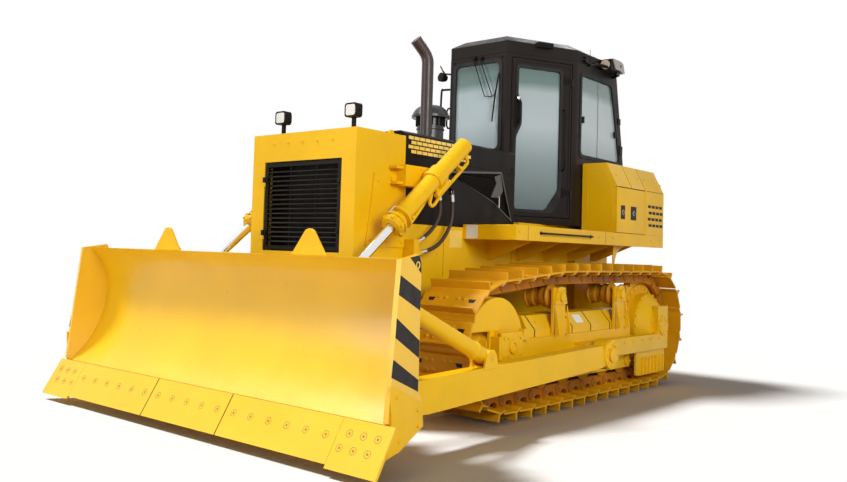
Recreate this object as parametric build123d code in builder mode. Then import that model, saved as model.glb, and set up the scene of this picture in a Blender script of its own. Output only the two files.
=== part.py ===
"""Track-type bulldozer with a straight blade and an enclosed six-sided cab.

Millimetres.  The machine faces -Y, its left side is +X, the ground is Z = 0,
and X = 0, Y = 0 is the middle of its plan.  Outlines drawn on Plane.YZ take (Y, Z),
outlines on Plane.XZ take (X, Z) and are extruded towards -Y.
"""
import os
from math import asin, atan2, cos, degrees, hypot, pi, radians, sin, tan

from build123d import *

# ---------------------------------------------------------------- clearances
RUN = 0.3            # curved faces that turn in or lie beside each other
GAP = 8.0            # moving pieces from their neighbours
KNUCKLE_R = 12       # hinge barrels of doors
DOOR_KNUCKLE = 40
FRAME_KNUCKLE = 30

# ---------------------------------------------------------------- undercarriage
GAUGE = 1880         # between the middles of the tracks
SHOE_WIDE = 500
SHOES = 39
GROUSER = 57         # bar that stands out of a shoe
GROUSER_THICK = 14
SHOE_THICK = 12
LINK_HALF = 50       # from a track pin to the rail, and to the shoe
LINK_THICK = 40
LINK_OFF = 78        # middle of a link strand from the middle of the track
SPROCKET_Y = 1787
SPROCKET_R = 440.6   # pitch circle
SPROCKET_WIDE = 66
TEETH = 27
IDLER_Y = -848
IDLER_R = 400        # circle of the track pins round the idler
IDLER_RAISE = 10
IDLER_WIDE = 96
IDLER_HUB_R = 110
SHOE_OUT = LINK_HALF + SHOE_THICK
TRACK_OUT = SHOE_OUT + GROUSER
SPROCKET_Z = SPROCKET_R + TRACK_OUT
IDLER_Z = IDLER_R + TRACK_OUT + IDLER_RAISE
PIN_TOP = SPROCKET_Z + SPROCKET_R
CARRIER_R = 88
CARRIER_Y = (30, 1085)
CARRIER_CLEAR = 4    # under the rail, whose links bend over the roller
ROLLER_R = 105
ROLLER_FLATS = 16    # rollers are drawn with flats, a corner on the rail
ROLLER_WIDE = 220
ROLLERS_Y = (-460, -120, 220, 560, 900, 1240)
TRACK_X = GAUGE / 2
CARRIER_Z = PIN_TOP - LINK_HALF - CARRIER_R - CARRIER_CLEAR
ROLLER_Z = TRACK_OUT + LINK_HALF + ROLLER_R + RUN

# ---------------------------------------------------------------- track frames
FRAME_HALF = 150     # half width of a track frame's box
FRAME_TOP = 560
FRAME_LOW = 330
PLATE = 20           # frame plates

# ---------------------------------------------------------------- main frame and body
RAIL_X = 330         # middle of a main rail
RAIL_WIDE = 120
RAIL_LOW = 640
RAIL_TOP = 900
GUARD_FRONT = -1723
GUARD_BACK = -1199
GUARD_HALF = 524
GUARD_TOP = 2005
GUARD_LOW = 700
GUARD_PLATE = 30
DOUBLER = 12
GRILLE_HALF = 395
GRILLE_TOP = 1800
GRILLE_LOW = 1150
GRILLE_DEEP = 40
SLATS = 15
SLAT = 9
HOOD_HALF = 505
HOOD_TOP = 2050
HOOD_SHOULDER = 2030
HOOD_LOW = 1375
HOOD_BACK = 300
HOOD_PLATE = 12
HOOD_RIDGE = 470
CAB_FRONT = 430

# ---------------------------------------------------------------- deck, tank and boxes
FENDER_OUT = 1000
FENDER_FRONT = -450
FENDER_TOP = 1400
FENDER_LOW = 1284
DECK_PLATE = 12
GUSSETS_Y = (-100, 350, 800, 1250, 1700)
TANK_HALF = 1000
TANK_FRONT = 1850
TANK_BACK = 2275
TANK_TOP = 2040
TANK_SHOULDER = 1820
TANK_RIDGE_X = 889
BOX_FRONT = 1240
BOX_SKIN = 22

# ---------------------------------------------------------------- cab
CAB_NOSE = 303       # half width of the front facet
CAB_HALF = 640       # half width at the side facets
CAB_CORNER = 1130    # where the door facet meets the side facet
CAB_BACK = 2105
CAB_BACK_TOP = 1925
MOUNT_HIGH = 55      # the cab's floor over the deck
SILL_HIGH = 60       # the doors' sill over the floor
CAB_FLOOR = FENDER_TOP + MOUNT_HIGH
CAB_SILL = CAB_FLOOR + SILL_HIGH
CAB_WALL = 40
CAB_EAVES = 2970
ROOF_FASCIA = 110    # upright edge of the roof, then its sloping crown
ROOF_RISE = 70
FLOOR_THICK = 30

# ---------------------------------------------------------------- blade and its arms
PIVOT_Y = 382        # push-arm trunnions
PIVOT_Z = 410
REAR_BEAM_OUT = 1215 # outer face of a track frame's outer beam
ARM_CLEAR = 55       # push arms from those beams
ARM_WIDE = 110
ARM_X = REAR_BEAM_OUT + ARM_CLEAR + ARM_WIDE / 2
BLADE_HALF = 1594
MOULD_THICK = 16
WING_THICK = 30
LIFT_X = 720
TRUNNION_Y = -1090
TRUNNION_Z = 1708
ROD_EYE_Y = -2085
ROD_EYE_Z = 925
BRACKET_OUT = 625
TRUNNION_PIN_R = 32
BARREL_R = 62
BORE_R = 48
ROD_R = 32
BARREL_UP = 440      # from the trunnion to the barrel's closed end
BARREL_DOWN = 610    # from the trunnion to the barrel's open end
BARREL_CAP = 25
GLAND = 60
PISTON = 60
ROD_LONG = 990      # from the rod's eye to the face of its piston
ROD_EYE_R = 55
ROD_EYE_WIDE = 88
EAR_GAP = 100        # between the two ears that take a rod's eye
EAR = 25


def outline(*points, mode=Mode.ADD):
    """Closed sketch face through the points."""
    Polygon(*points, align=None, mode=mode)


def mirrored(piece):
    """The same piece for the machine's other side."""
    with BuildPart() as other:
        add(piece.part)
        mirror(about=Plane.YZ, mode=Mode.REPLACE)
    return other


def slab(x0, x1, y0, y1, z0, z1, mode=Mode.ADD):
    """Box between two corners."""
    with Locations(((x0 + x1) / 2, (y0 + y1) / 2, (z0 + z1) / 2)):
        Box(abs(x1 - x0), abs(y1 - y0), abs(z1 - z0), mode=mode)


def drum(y, z, x0, x1, radius, mode=Mode.ADD):
    """Cylinder along X between two stations."""
    with Locations(Location(((x0 + x1) / 2, y, z), (0, 90, 0))):
        Cylinder(radius, abs(x1 - x0), mode=mode)


def knuckles(x, y, heights, radius, length, mode=Mode.ADD):
    """Upright hinge barrels on one line."""
    with Locations(*[(x, y, z) for z in heights]):
        Cylinder(radius, length, mode=mode)


# ================================================================ hydraulic hoses
# (y, z) of each hose of the left lift cylinder, from its port on the skirt to the bracket on the hood
HOSE_X = 600
HOSE_R = 14
HOSE_FLATS = 8
FITTING_R = 19
HOSE_ROUTES = {
    "hose_short": ((-1107, 1251), (-987, 1312), (-884, 1415), (-862, 1515), (-893, 1612)),
    "hose_long": ((-1081, 1169), (-913, 1201), (-776, 1311), (-702, 1459), (-728, 1612)),
}
PORT_BLOCK = ((-1190, 1130), (-1130, 1262))      # (y, z) of its corners
HOSE_BRACKET = ((-940, 1655), (-680, 1667))


def bends(route):
    """Radius of the arc at each inner point: 0.45 of its shorter run over the tangent of half its turn."""
    radii = []
    for before, at, after in zip(route, route[1:], route[2:]):
        runs = [(q[0] - p[0], q[1] - p[1]) for p, q in ((before, at), (at, after))]
        turn = abs(atan2(runs[1][1], runs[1][0]) - atan2(runs[0][1], runs[0][0]))
        radii.append(0.45 * min(hypot(*run) for run in runs) / tan(turn / 2))
    return radii


def hose_end(at, beyond):
    """Plane at a hose's end, facing away from the hose."""
    return Plane(origin=(HOSE_X, *at), z_dir=(0, at[0] - beyond[0], at[1] - beyond[1]))


def fittings(side, first, reach):
    """Round unions at the hoses' first or last ends, which reach into what carries them."""
    for route in HOSE_ROUTES.values():
        end, inner = (route[0], route[1]) if first else (route[-1], route[-2])
        away = hose_end(end, inner).z_dir
        with Locations(Plane(origin=(side * HOSE_X, *end), z_dir=away)):
            Cylinder(FITTING_R, reach, align=(Align.CENTER, Align.CENTER, Align.MIN))


def hose(route):
    """Tube along straight runs and tangent arcs, its section drawn with flats."""
    radii = bends(route)
    print("hose radii", [round(r) for r in radii], "length", round(hose_length(route, radii)))
    with BuildPart() as tube:
        with BuildLine():
            FilletPolyline(*[(HOSE_X, *p) for p in route], radius=radii)
        with BuildSketch(hose_end(route[0], route[1])):
            RegularPolygon(HOSE_R, int(HOSE_FLATS))
        sweep()
    return tube


def hose_length(route, radii):
    """Length along the runs, less what the arcs cut off."""
    length = sum(hypot(q[0] - p[0], q[1] - p[1]) for p, q in zip(route, route[1:]))
    for radius, before, at, after in zip(radii, route, route[1:], route[2:]):
        turn = abs(atan2(after[1] - at[1], after[0] - at[0]) - atan2(at[1] - before[1], at[0] - before[0]))
        length += radius * (turn - 2 * tan(turn / 2))
    return length


hose_short_left = hose(HOSE_ROUTES["hose_short"])
hose_long_left = hose(HOSE_ROUTES["hose_long"])
hose_short_right = mirrored(hose_short_left)
hose_long_right = mirrored(hose_long_left)

# ================================================================ track
def belt(circles):
    """Closed belt round circles (y, z, r), given anticlockwise: a list of straight and arc spans."""
    normals = []
    for first, second in zip(circles, circles[1:] + circles[:1]):
        dy, dz = second[0] - first[0], second[1] - first[1]
        far = hypot(dy, dz)
        lean = asin((first[2] - second[2]) / far)
        normals.append(atan2(dz, dy) - pi / 2 + lean)
    spans = []
    for k, (y, z, r) in enumerate(circles):
        start, end = normals[k - 1], normals[k]
        turn = (end - start + pi / 2) % (2 * pi) - pi / 2
        spans.append(("arc", y, z, r, start, turn, r * turn))
        nxt = circles[(k + 1) % len(circles)]
        a = (y + r * cos(end), z + r * sin(end))
        b = (nxt[0] + nxt[2] * cos(end), nxt[1] + nxt[2] * sin(end))
        spans.append(("line", *a, *b, end, hypot(b[0] - a[0], b[1] - a[1])))
    return spans


def along(spans, s):
    """Point and outward angle at distance s along the belt."""
    s %= sum(span[-1] for span in spans)
    for span in spans:
        if s <= span[-1]:
            break
        s -= span[-1]
    if span[0] == "arc":
        _, y, z, r, start, _, _ = span
        angle = start + s / r
        return y + r * cos(angle), z + r * sin(angle), angle
    _, y0, z0, y1, z1, angle, length = span
    t = s / length
    return y0 + (y1 - y0) * t, z0 + (z1 - z0) * t, angle


pins_on = belt([
    (IDLER_Y, IDLER_Z, IDLER_R),
    (ROLLERS_Y[0], ROLLER_Z, ROLLER_R + RUN + LINK_HALF),
    (SPROCKET_Y, SPROCKET_Z, SPROCKET_R),
    (CARRIER_Y[1], CARRIER_Z, CARRIER_R + LINK_HALF + CARRIER_CLEAR),
    (CARRIER_Y[0], CARRIER_Z, CARRIER_R + LINK_HALF + CARRIER_CLEAR),
])
track_length = sum(span[-1] for span in pins_on)
pitch = track_length / SHOES
pins = [along(pins_on, k * pitch) for k in range(SHOES)]


def out_of(pin, distance):
    """Point that lies a distance outside a pin."""
    y, z, angle = pin
    return y + distance * cos(angle), z + distance * sin(angle)


shoe_outside = []
shoe_inside = []
rail_side = []
for a, b in zip(pins, pins[1:] + pins[:1]):
    ty, tz = (b[0] - a[0]) / pitch, (b[1] - a[1]) / pitch
    ny, nz = tz, -ty
    my, mz = (a[0] + b[0]) / 2, (a[1] + b[1]) / 2
    # along the shoe, out of the shoe: plate, then the grouser near its trailing edge
    for t, n in ((-92, SHOE_OUT), (58, SHOE_OUT), (58, TRACK_OUT),
                 (58 + GROUSER_THICK, TRACK_OUT), (58 + GROUSER_THICK, SHOE_OUT), (92, SHOE_OUT)):
        shoe_outside.append((my + ty * t + ny * n, mz + tz * t + nz * n))
    shoe_inside.append(out_of(a, LINK_HALF))
    rail_side.append(out_of(a, -LINK_HALF))

with BuildPart() as track_left:
    with BuildSketch(Plane.YZ.offset(TRACK_X - SHOE_WIDE / 2)):
        outline(*shoe_outside)
        outline(*shoe_inside, mode=Mode.SUBTRACT)
    extrude(amount=SHOE_WIDE)
    for side in (-1, 1):
        with BuildSketch(Plane.YZ.offset(TRACK_X + side * LINK_OFF - LINK_THICK / 2)):
            outline(*shoe_inside)
            outline(*rail_side, mode=Mode.SUBTRACT)
        extrude(amount=LINK_THICK)
track_right = mirrored(track_left)

# ================================================================ rollers, idler, sprocket
with BuildPart() as rollers_left:
    with BuildSketch(Plane.YZ.offset(TRACK_X - FRAME_HALF)):
        with Locations(*[(y, ROLLER_Z) for y in ROLLERS_Y]):
            RegularPolygon(ROLLER_R, int(ROLLER_FLATS))
    extrude(amount=2 * FRAME_HALF)
    with BuildSketch(Plane.YZ.offset(TRACK_X - ROLLER_WIDE / 2)):
        with Locations(*[(y, CARRIER_Z) for y in CARRIER_Y]):
            RegularPolygon(CARRIER_R, int(ROLLER_FLATS))
    extrude(amount=ROLLER_WIDE / 2 + FRAME_HALF)
rollers_right = mirrored(rollers_left)

with BuildPart() as idler_left:
    drum(IDLER_Y, IDLER_Z, TRACK_X - IDLER_WIDE / 2, TRACK_X + IDLER_WIDE / 2, IDLER_R - LINK_HALF - RUN)
    with BuildSketch(Plane.YZ.offset(TRACK_X - FRAME_HALF)):
        with Locations((IDLER_Y, IDLER_Z)):
            RegularPolygon(IDLER_HUB_R, int(ROLLER_FLATS))
    extrude(amount=2 * FRAME_HALF)
idler_right = mirrored(idler_left)

tooth_outline = []
for k in range(TEETH):
    for turn, radius in ((0.10, SPROCKET_R - 34), (0.34, SPROCKET_R + 18), (0.66, SPROCKET_R + 18), (0.90, SPROCKET_R - 34)):
        angle = 2 * pi * (k + turn) / TEETH
        tooth_outline.append((SPROCKET_Y + radius * cos(angle), SPROCKET_Z + radius * sin(angle)))

HUB_OUT = 1165
FINAL_IN = 480       # where the final drive meets the rear case
COVER_STEPS = ((1085, 290), (HUB_OUT, 190))     # (outer face, radius)
with BuildPart() as final_drive_left:
    with BuildSketch(Plane.YZ.offset(TRACK_X - SPROCKET_WIDE / 2)):
        outline(*tooth_outline)
    extrude(amount=SPROCKET_WIDE)
    for face_x, radius in COVER_STEPS:
        drum(SPROCKET_Y, SPROCKET_Z, FINAL_IN, face_x, radius)
final_drive_right = mirrored(final_drive_left)

# ================================================================ track frame
FRAME_FRONT = -560
IDLER_GUARD_R = 342
FRAME_REAR = 1310
POST_WIDE = 190
RECOIL_COVER = ((-145, 0), (145, 0), (145, 55), (85, 160), (-85, 160), (-145, 55))
FRAME_UNDER = ROLLER_Z + ROLLER_R + 25
ROCK_GUARD = (1290, 1897)
with BuildPart() as track_frame_left:
    slab(TRACK_X - FRAME_HALF, TRACK_X + FRAME_HALF, FRAME_FRONT + 120, FRAME_REAR, FRAME_UNDER, FRAME_TOP)
    for side in (-1, 1):
        x = TRACK_X + side * (FRAME_HALF + PLATE / 2)
        slab(x - PLATE / 2, x + PLATE / 2, FRAME_FRONT, FRAME_REAR, ROLLER_Z - 60, FRAME_TOP)
        slab(x - PLATE / 2, x + PLATE / 2, IDLER_Y - 90, FRAME_FRONT, IDLER_Z - 100, FRAME_TOP + 80)
    for y in CARRIER_Y:
        slab(TRACK_X + FRAME_HALF, TRACK_X + FRAME_HALF + PLATE, y - POST_WIDE / 2, y + POST_WIDE / 2,
             FRAME_TOP, CARRIER_Z + 70)
    # recoil-spring cover: a low ridge over the box
    with BuildSketch(Plane.XZ.offset(-FRAME_REAR + 40)):
        outline(*[(TRACK_X + x, FRAME_TOP + z) for x, z in RECOIL_COVER])
    extrude(amount=FRAME_REAR - 40 - FRAME_FRONT - 160)
    # guard plate and bearing block of the idler
    with BuildSketch(Plane.YZ.offset(TRACK_X + FRAME_HALF)):
        with Locations((IDLER_Y, IDLER_Z)):
            Circle(IDLER_GUARD_R)
        with Locations((IDLER_Y, FRAME_TOP + 80 - 400)):
            Rectangle(2 * IDLER_R, 800, mode=Mode.SUBTRACT)
    extrude(amount=PLATE)
    slab(TRACK_X + FRAME_HALF + PLATE, REAR_BEAM_OUT - 30, IDLER_Y - 80, IDLER_Y + 230, IDLER_Z - 85, IDLER_Z + 75)
    # outrigger that carries the push arm's ball
    slab(TRACK_X + FRAME_HALF + PLATE, REAR_BEAM_OUT, PIVOT_Y - 110, PIVOT_Y + 110, PIVOT_Z - 80, PIVOT_Z + 80)
    drum(PIVOT_Y, PIVOT_Z, REAR_BEAM_OUT, ARM_X + ARM_WIDE / 2 + 25, 55)
    # outer beam that runs back to the final drive's outer bearing
    slab(TRACK_X + FRAME_HALF + PLATE, REAR_BEAM_OUT, PIVOT_Y + 110, FRAME_REAR, PIVOT_Z - 60, PIVOT_Z + 80)
    slab(HUB_OUT, REAR_BEAM_OUT, FRAME_REAR, SPROCKET_Y + 110, PIVOT_Z - 60, PIVOT_Z + 80)
    slab(HUB_OUT, REAR_BEAM_OUT, SPROCKET_Y - 110, SPROCKET_Y + 110, PIVOT_Z + 80, SPROCKET_Z + 180)
    # rock guard below that beam, with its stiffening ribs
    with BuildSketch(Plane.YZ.offset(HUB_OUT)):
        outline((ROCK_GUARD[0], PIVOT_Z - 60), (ROCK_GUARD[0], 140), (ROCK_GUARD[0] + 90, 132), (ROCK_GUARD[1] - 60, 132),
                (ROCK_GUARD[1], 220), (ROCK_GUARD[1], PIVOT_Z - 60))
    extrude(amount=PLATE)
    for k in range(7):
        y = ROCK_GUARD[0] + 90 + 75 * k
        slab(HUB_OUT + PLATE, HUB_OUT + 2 * PLATE, y, y + 16, 140, 290)
track_frame_right = mirrored(track_frame_left)

# ================================================================ main frame
SKIRT_IN = 500       # side skirts between the rails and the hood
SKIRT_OUT = 512
SKIRT_BACK = 1240
CASE_TOP = 1240
RAIL_FRONT = -1180
RAIL_BACK = 1450
BELLY = 18
with BuildPart() as main_frame:
    for side in (-1, 1):
        x = side * RAIL_X
        slab(x - RAIL_WIDE / 2, x + RAIL_WIDE / 2, RAIL_FRONT, RAIL_BACK, RAIL_LOW, RAIL_TOP)
    for y in (RAIL_FRONT + 100, 200, 1100):
        slab(-RAIL_X + RAIL_WIDE / 2, RAIL_X - RAIL_WIDE / 2, y, y + 140, RAIL_LOW, RAIL_LOW + 160)
    slab(-RAIL_X - RAIL_WIDE / 2, RAIL_X + RAIL_WIDE / 2, RAIL_FRONT, RAIL_BACK, RAIL_LOW - BELLY, RAIL_LOW)
    # side skirts between the rails and the deck
    for side in (-1, 1):
        slab(side * SKIRT_IN, side * SKIRT_OUT, GUARD_BACK, SKIRT_BACK, RAIL_TOP - 60, HOOD_LOW)
        slab(side * (RAIL_X + RAIL_WIDE / 2), side * SKIRT_IN, RAIL_FRONT, SKIRT_BACK, RAIL_TOP - 60, RAIL_TOP - 40)
        # ports of the lift cylinders' hoses
        (y0, z0), (y1, z1) = PORT_BLOCK
        slab(side * SKIRT_OUT, side * (HOSE_X + FITTING_R), y0, y1, z0, z1)
        fittings(side, True, 52)
with BuildPart() as equalizer_bar:
    slab(-TRACK_X + FRAME_HALF + 60, TRACK_X - FRAME_HALF - 60, -420, -280, RAIL_LOW - BELLY - 120, RAIL_LOW - BELLY)
    for side in (-1, 1):
        slab(side * (TRACK_X - FRAME_HALF - PLATE), side * (TRACK_X - FRAME_HALF - 60), -420, -280,
             RAIL_LOW - BELLY - 180, RAIL_LOW - BELLY)
with BuildPart() as engine_block:
    slab(-250, 250, -1020, 150, RAIL_LOW + 160, 1750)
CASE_BACK = 2120
TOW_BOLT_X = 380     # bolt holes for a ripper or winch on the case's rear face
TOW_BOLT_Z = 200
TOW_BOLT_MID = 820
TOW_BOLT_R = 12
with BuildPart() as rear_case:
    slab(-RAIL_X + RAIL_WIDE / 2, RAIL_X - RAIL_WIDE / 2, 1300, RAIL_BACK, RAIL_LOW, CASE_TOP)
    slab(-FINAL_IN, FINAL_IN, RAIL_BACK, CASE_BACK, 330, CASE_TOP)
    with Locations(Plane.XZ.offset(-CASE_BACK)):
        with GridLocations(2 * TOW_BOLT_X, 2 * TOW_BOLT_Z, 2, 2):
            with Locations((0, TOW_BOLT_MID)):
                Cylinder(TOW_BOLT_R, 120, mode=Mode.SUBTRACT)
DRAW_Z = 400
DRAW_STEP = 2480
DRAW_BACK = 2723.5
PIN_IN = 83.5        # tow pin's hole from the end of the bar
DRAW_PIN_R = 26
with BuildPart() as drawbar:
    slab(-150, 150, CASE_BACK, DRAW_STEP, DRAW_Z - 50, DRAW_Z + 50)
    slab(-90, 90, DRAW_STEP, DRAW_BACK, DRAW_Z - 40, DRAW_Z + 40)
    with Locations((0, DRAW_BACK - PIN_IN, DRAW_Z)):
        Hole(DRAW_PIN_R, depth=200)

# ================================================================ radiator guard and grille
GRILLE_SET = 5       # the grille's face behind the guard's face
GRILLE_HINGES = (1280, 1670)
GRILLE_PIN = (-GRILLE_HALF + GAP / 2, GUARD_FRONT - 4)


def frame_side(hinges):
    """Heights of the fixed barrels, one under each moving one."""
    return [z - (DOOR_KNUCKLE + FRAME_KNUCKLE) / 2 - RUN for z in hinges]


with BuildPart() as radiator_guard:
    slab(-GUARD_HALF, GUARD_HALF, GUARD_FRONT, GUARD_BACK, GUARD_LOW, GUARD_TOP)
    with Locations((0, (GUARD_FRONT + GUARD_PLATE + GUARD_BACK) / 2, (GUARD_LOW + GUARD_TOP - GUARD_PLATE) / 2)):
        Box(2 * (GUARD_HALF - GUARD_PLATE), GUARD_BACK - GUARD_FRONT - GUARD_PLATE,
            GUARD_TOP - GUARD_PLATE - GUARD_LOW, mode=Mode.SUBTRACT)
    with Locations((0, GUARD_FRONT, (GRILLE_LOW + GRILLE_TOP) / 2)):
        Box(2 * GRILLE_HALF, 4 * GUARD_PLATE, GRILLE_TOP - GRILLE_LOW, mode=Mode.SUBTRACT)
    # feet on the main rails
    for side in (-1, 1):
        slab(side * (RAIL_X - 60), side * (GUARD_HALF - GUARD_PLATE), RAIL_FRONT - 150, RAIL_FRONT, GUARD_LOW, RAIL_TOP)
    # doubler plates and the brackets that hold the cylinders' trunnions
    for side in (-1, 1):
        with BuildSketch(Plane.YZ.offset(side * (GUARD_HALF + DOUBLER / 2) - DOUBLER / 2)):
            outline((-1540, 1706), (GUARD_BACK, 1760), (GUARD_BACK, 1200), (-1610, 1200))
        extrude(amount=DOUBLER)
        slab(side * (GUARD_HALF + DOUBLER), side * (BRACKET_OUT - 25), GUARD_BACK - 180, GUARD_BACK, TRUNNION_Z + 45, TRUNNION_Z + 65)
        slab(side * (GUARD_HALF + DOUBLER), side * (BRACKET_OUT - 25), GUARD_BACK - 180, GUARD_BACK, TRUNNION_Z - 65, TRUNNION_Z - 45)
        with BuildSketch(Plane.YZ.offset(side * (GUARD_HALF + BRACKET_OUT) / 2 - (BRACKET_OUT - GUARD_HALF) / 2)):
            outline((GUARD_BACK - 110, TRUNNION_Z - 75), (TRUNNION_Y + 30, TRUNNION_Z - 75), (TRUNNION_Y + 75, TRUNNION_Z - 30),
                    (TRUNNION_Y + 75, TRUNNION_Z + 30), (TRUNNION_Y + 30, TRUNNION_Z + 75), (GUARD_BACK - 110, TRUNNION_Z + 75))
        extrude(amount=BRACKET_OUT - GUARD_HALF)
        drum(TRUNNION_Y, TRUNNION_Z, side * GUARD_HALF, side * BRACKET_OUT, TRUNNION_PIN_R + RUN, Mode.SUBTRACT)
    knuckles(*GRILLE_PIN, GRILLE_HINGES, KNUCKLE_R + RUN, DOOR_KNUCKLE + 2 * RUN, Mode.SUBTRACT)
    knuckles(*GRILLE_PIN, frame_side(GRILLE_HINGES), KNUCKLE_R, FRAME_KNUCKLE)
with BuildPart() as radiator_core:
    slab(-GUARD_HALF + GUARD_PLATE, GUARD_HALF - GUARD_PLATE, GUARD_FRONT + 170, GUARD_FRONT + 320,
         RAIL_TOP, GUARD_TOP - GUARD_PLATE - 40)
with BuildPart() as grille_door:
    z0, z1 = GRILLE_LOW + GAP, GRILLE_TOP - GAP
    x1 = GRILLE_HALF - GAP
    for z in (z0, z1 - 30):
        slab(-x1, x1, GUARD_FRONT + GRILLE_SET, GUARD_FRONT + GRILLE_SET + 20, z, z + 30)
    for x in (-x1, x1 - 30):
        slab(x, x + 30, GUARD_FRONT + GRILLE_SET, GUARD_FRONT + GRILLE_SET + 20, z0, z1)
    for k in range(1, SLATS):
        z = z0 + (z1 - z0) * k / SLATS
        slab(-x1 + 30, x1 - 30, GUARD_FRONT + GRILLE_SET, GUARD_FRONT + GRILLE_SET + 15, z - SLAT / 2, z + SLAT / 2)
    for x in (-GRILLE_HALF / 3, GRILLE_HALF / 3):
        slab(x - 5, x + 5, GUARD_FRONT + GRILLE_SET + 15, GUARD_FRONT + GRILLE_SET + 25, z0 + 15, z1 - 15)
    knuckles(*GRILLE_PIN, frame_side(GRILLE_HINGES), KNUCKLE_R + RUN, FRAME_KNUCKLE + 2 * RUN, Mode.SUBTRACT)
    knuckles(*GRILLE_PIN, GRILLE_HINGES, KNUCKLE_R, DOOR_KNUCKLE)

LAMP_X = 361
LAMP_Y = -1578
LAMP_Z = 2147
LAMP_HALF = 56       # half sizes of a lamp and of its stalk
LAMP_DEEP = 42
LAMP_TALL = 50
STALK = 12
with BuildPart() as headlamps:
    for side in (-1, 1):
        x = side * LAMP_X
        slab(x - LAMP_HALF, x + LAMP_HALF, LAMP_Y - LAMP_DEEP, LAMP_Y + LAMP_DEEP, LAMP_Z - LAMP_TALL, LAMP_Z + LAMP_TALL)
        slab(x - STALK, x + STALK, LAMP_Y - STALK, LAMP_Y + STALK, GUARD_TOP, LAMP_Z - LAMP_TALL)

# ================================================================ hood
COWL_LOW = FENDER_TOP
SIDE_OPENING = ((-690, 1800), (90, 1862), (262, 1450), (-33, 1600))
with BuildPart() as hood:
    with BuildSketch(Plane.XZ.offset(-HOOD_BACK)):
        outline((-HOOD_HALF, HOOD_LOW), (-HOOD_HALF, HOOD_SHOULDER), (-HOOD_RIDGE, HOOD_TOP), (HOOD_RIDGE, HOOD_TOP),
                (HOOD_HALF, HOOD_SHOULDER), (HOOD_HALF, HOOD_LOW))
    extrude(amount=HOOD_BACK - GUARD_BACK)
    with BuildSketch(Plane.XZ.offset(HOOD_PLATE - HOOD_BACK)):
        outline((-HOOD_HALF + HOOD_PLATE, HOOD_LOW), (-HOOD_HALF + HOOD_PLATE, HOOD_SHOULDER - 5),
                (-HOOD_RIDGE, HOOD_TOP - HOOD_PLATE), (HOOD_RIDGE, HOOD_TOP - HOOD_PLATE),
                (HOOD_HALF - HOOD_PLATE, HOOD_SHOULDER - 5), (HOOD_HALF - HOOD_PLATE, HOOD_LOW))
    extrude(amount=HOOD_BACK - GUARD_BACK, mode=Mode.SUBTRACT)
    # meshed openings in the side panels
    for side in (-1, 1):
        with BuildSketch(Plane.YZ.offset(side * HOOD_HALF - 2 * HOOD_PLATE)):
            outline(*SIDE_OPENING)
        extrude(amount=4 * HOOD_PLATE, mode=Mode.SUBTRACT)
    # brackets of the lift cylinders' hoses
    for side in (-1, 1):
        (y0, z0), (y1, z1) = HOSE_BRACKET
        slab(side * HOOD_HALF, side * (HOSE_X + FITTING_R), y0, y1, z0, z1)
        fittings(side, False, 50)
    # cowl between the hood and the cab
    slab(-CAB_NOSE, CAB_NOSE, HOOD_BACK, CAB_FRONT, COWL_LOW, HOOD_TOP - HOOD_PLATE)
STACK_X = 110
STACK_Y = -445
STACK_R = 49
NECK_R = 112         # air pre-cleaner on the hood
BOWL_STEPS = ((2340, 162), (2420, 110))     # (top, radius) of bowl and lid
BOWL_Z = 2305
with BuildPart() as exhaust_pipe:
    with BuildLine():
        FilletPolyline((STACK_X, STACK_Y, HOOD_TOP), (STACK_X, STACK_Y, 2780), (STACK_X - 42, STACK_Y - 112, 2905), radius=140)
    with BuildSketch(Plane.XY.offset(HOOD_TOP)):
        with Locations((STACK_X, STACK_Y)):
            Circle(STACK_R)
    sweep()
AIR_Y = -245
with BuildPart() as precleaner:
    with Locations((0, AIR_Y, (HOOD_TOP + BOWL_Z) / 2)):
        Cylinder(NECK_R, BOWL_Z - HOOD_TOP)
    for top, radius in BOWL_STEPS:
        with Locations((0, AIR_Y, (BOWL_Z + top) / 2)):
            Cylinder(radius, top - BOWL_Z)

# ================================================================ cab
CAB_PLAN = ((-CAB_NOSE, CAB_FRONT), (CAB_NOSE, CAB_FRONT), (CAB_HALF, CAB_CORNER), (CAB_HALF, CAB_BACK),
            (-CAB_HALF, CAB_BACK), (-CAB_HALF, CAB_CORNER))
DOOR_LEAN = degrees(atan2(CAB_HALF - CAB_NOSE, CAB_CORNER - CAB_FRONT))
DOOR_RUN = hypot(CAB_HALF - CAB_NOSE, CAB_CORNER - CAB_FRONT)
POST = 60
DOOR_TOP = 2940


ROOF_PLAN = CAB_PLAN[:3] + ((CAB_HALF, CAB_BACK_TOP), (-CAB_HALF, CAB_BACK_TOP)) + CAB_PLAN[5:]
DOOR_LONG = DOOR_RUN - 2 * POST - 2 * GAP
DOOR_HINGES = (1750, 2780)
# the doors' hinge line: at their rear edge, a little outside their face
PIN_RUN = DOOR_RUN - POST - GAP / 2
PIN_OUT = 6
PIN_X = CAB_NOSE + (CAB_HALF - CAB_NOSE) / DOOR_RUN * PIN_RUN + (CAB_CORNER - CAB_FRONT) / DOOR_RUN * PIN_OUT
PIN_Y = CAB_FRONT + (CAB_CORNER - CAB_FRONT) / DOOR_RUN * PIN_RUN - (CAB_HALF - CAB_NOSE) / DOOR_RUN * PIN_OUT
PANE = 6              # glass, and its depth in the window's frame
PANE_IN = 12
WINDOW_LOW = 2110
WINDOW_TOP = 2875
SCREEN_LOW = 2100
SCREEN_TOP = 2905
SCREEN_HALF = 250
REAR_HALF = 500
SIDE_WINDOW = (1195, 2030, 1825)     # front, rear at the sill, rear at the top
back_cut = Plane(origin=(0, CAB_BACK, WINDOW_LOW), x_dir=(1, 0, 0),
                 z_dir=(0, CAB_EAVES - WINDOW_LOW, CAB_BACK - CAB_BACK_TOP))
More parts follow.
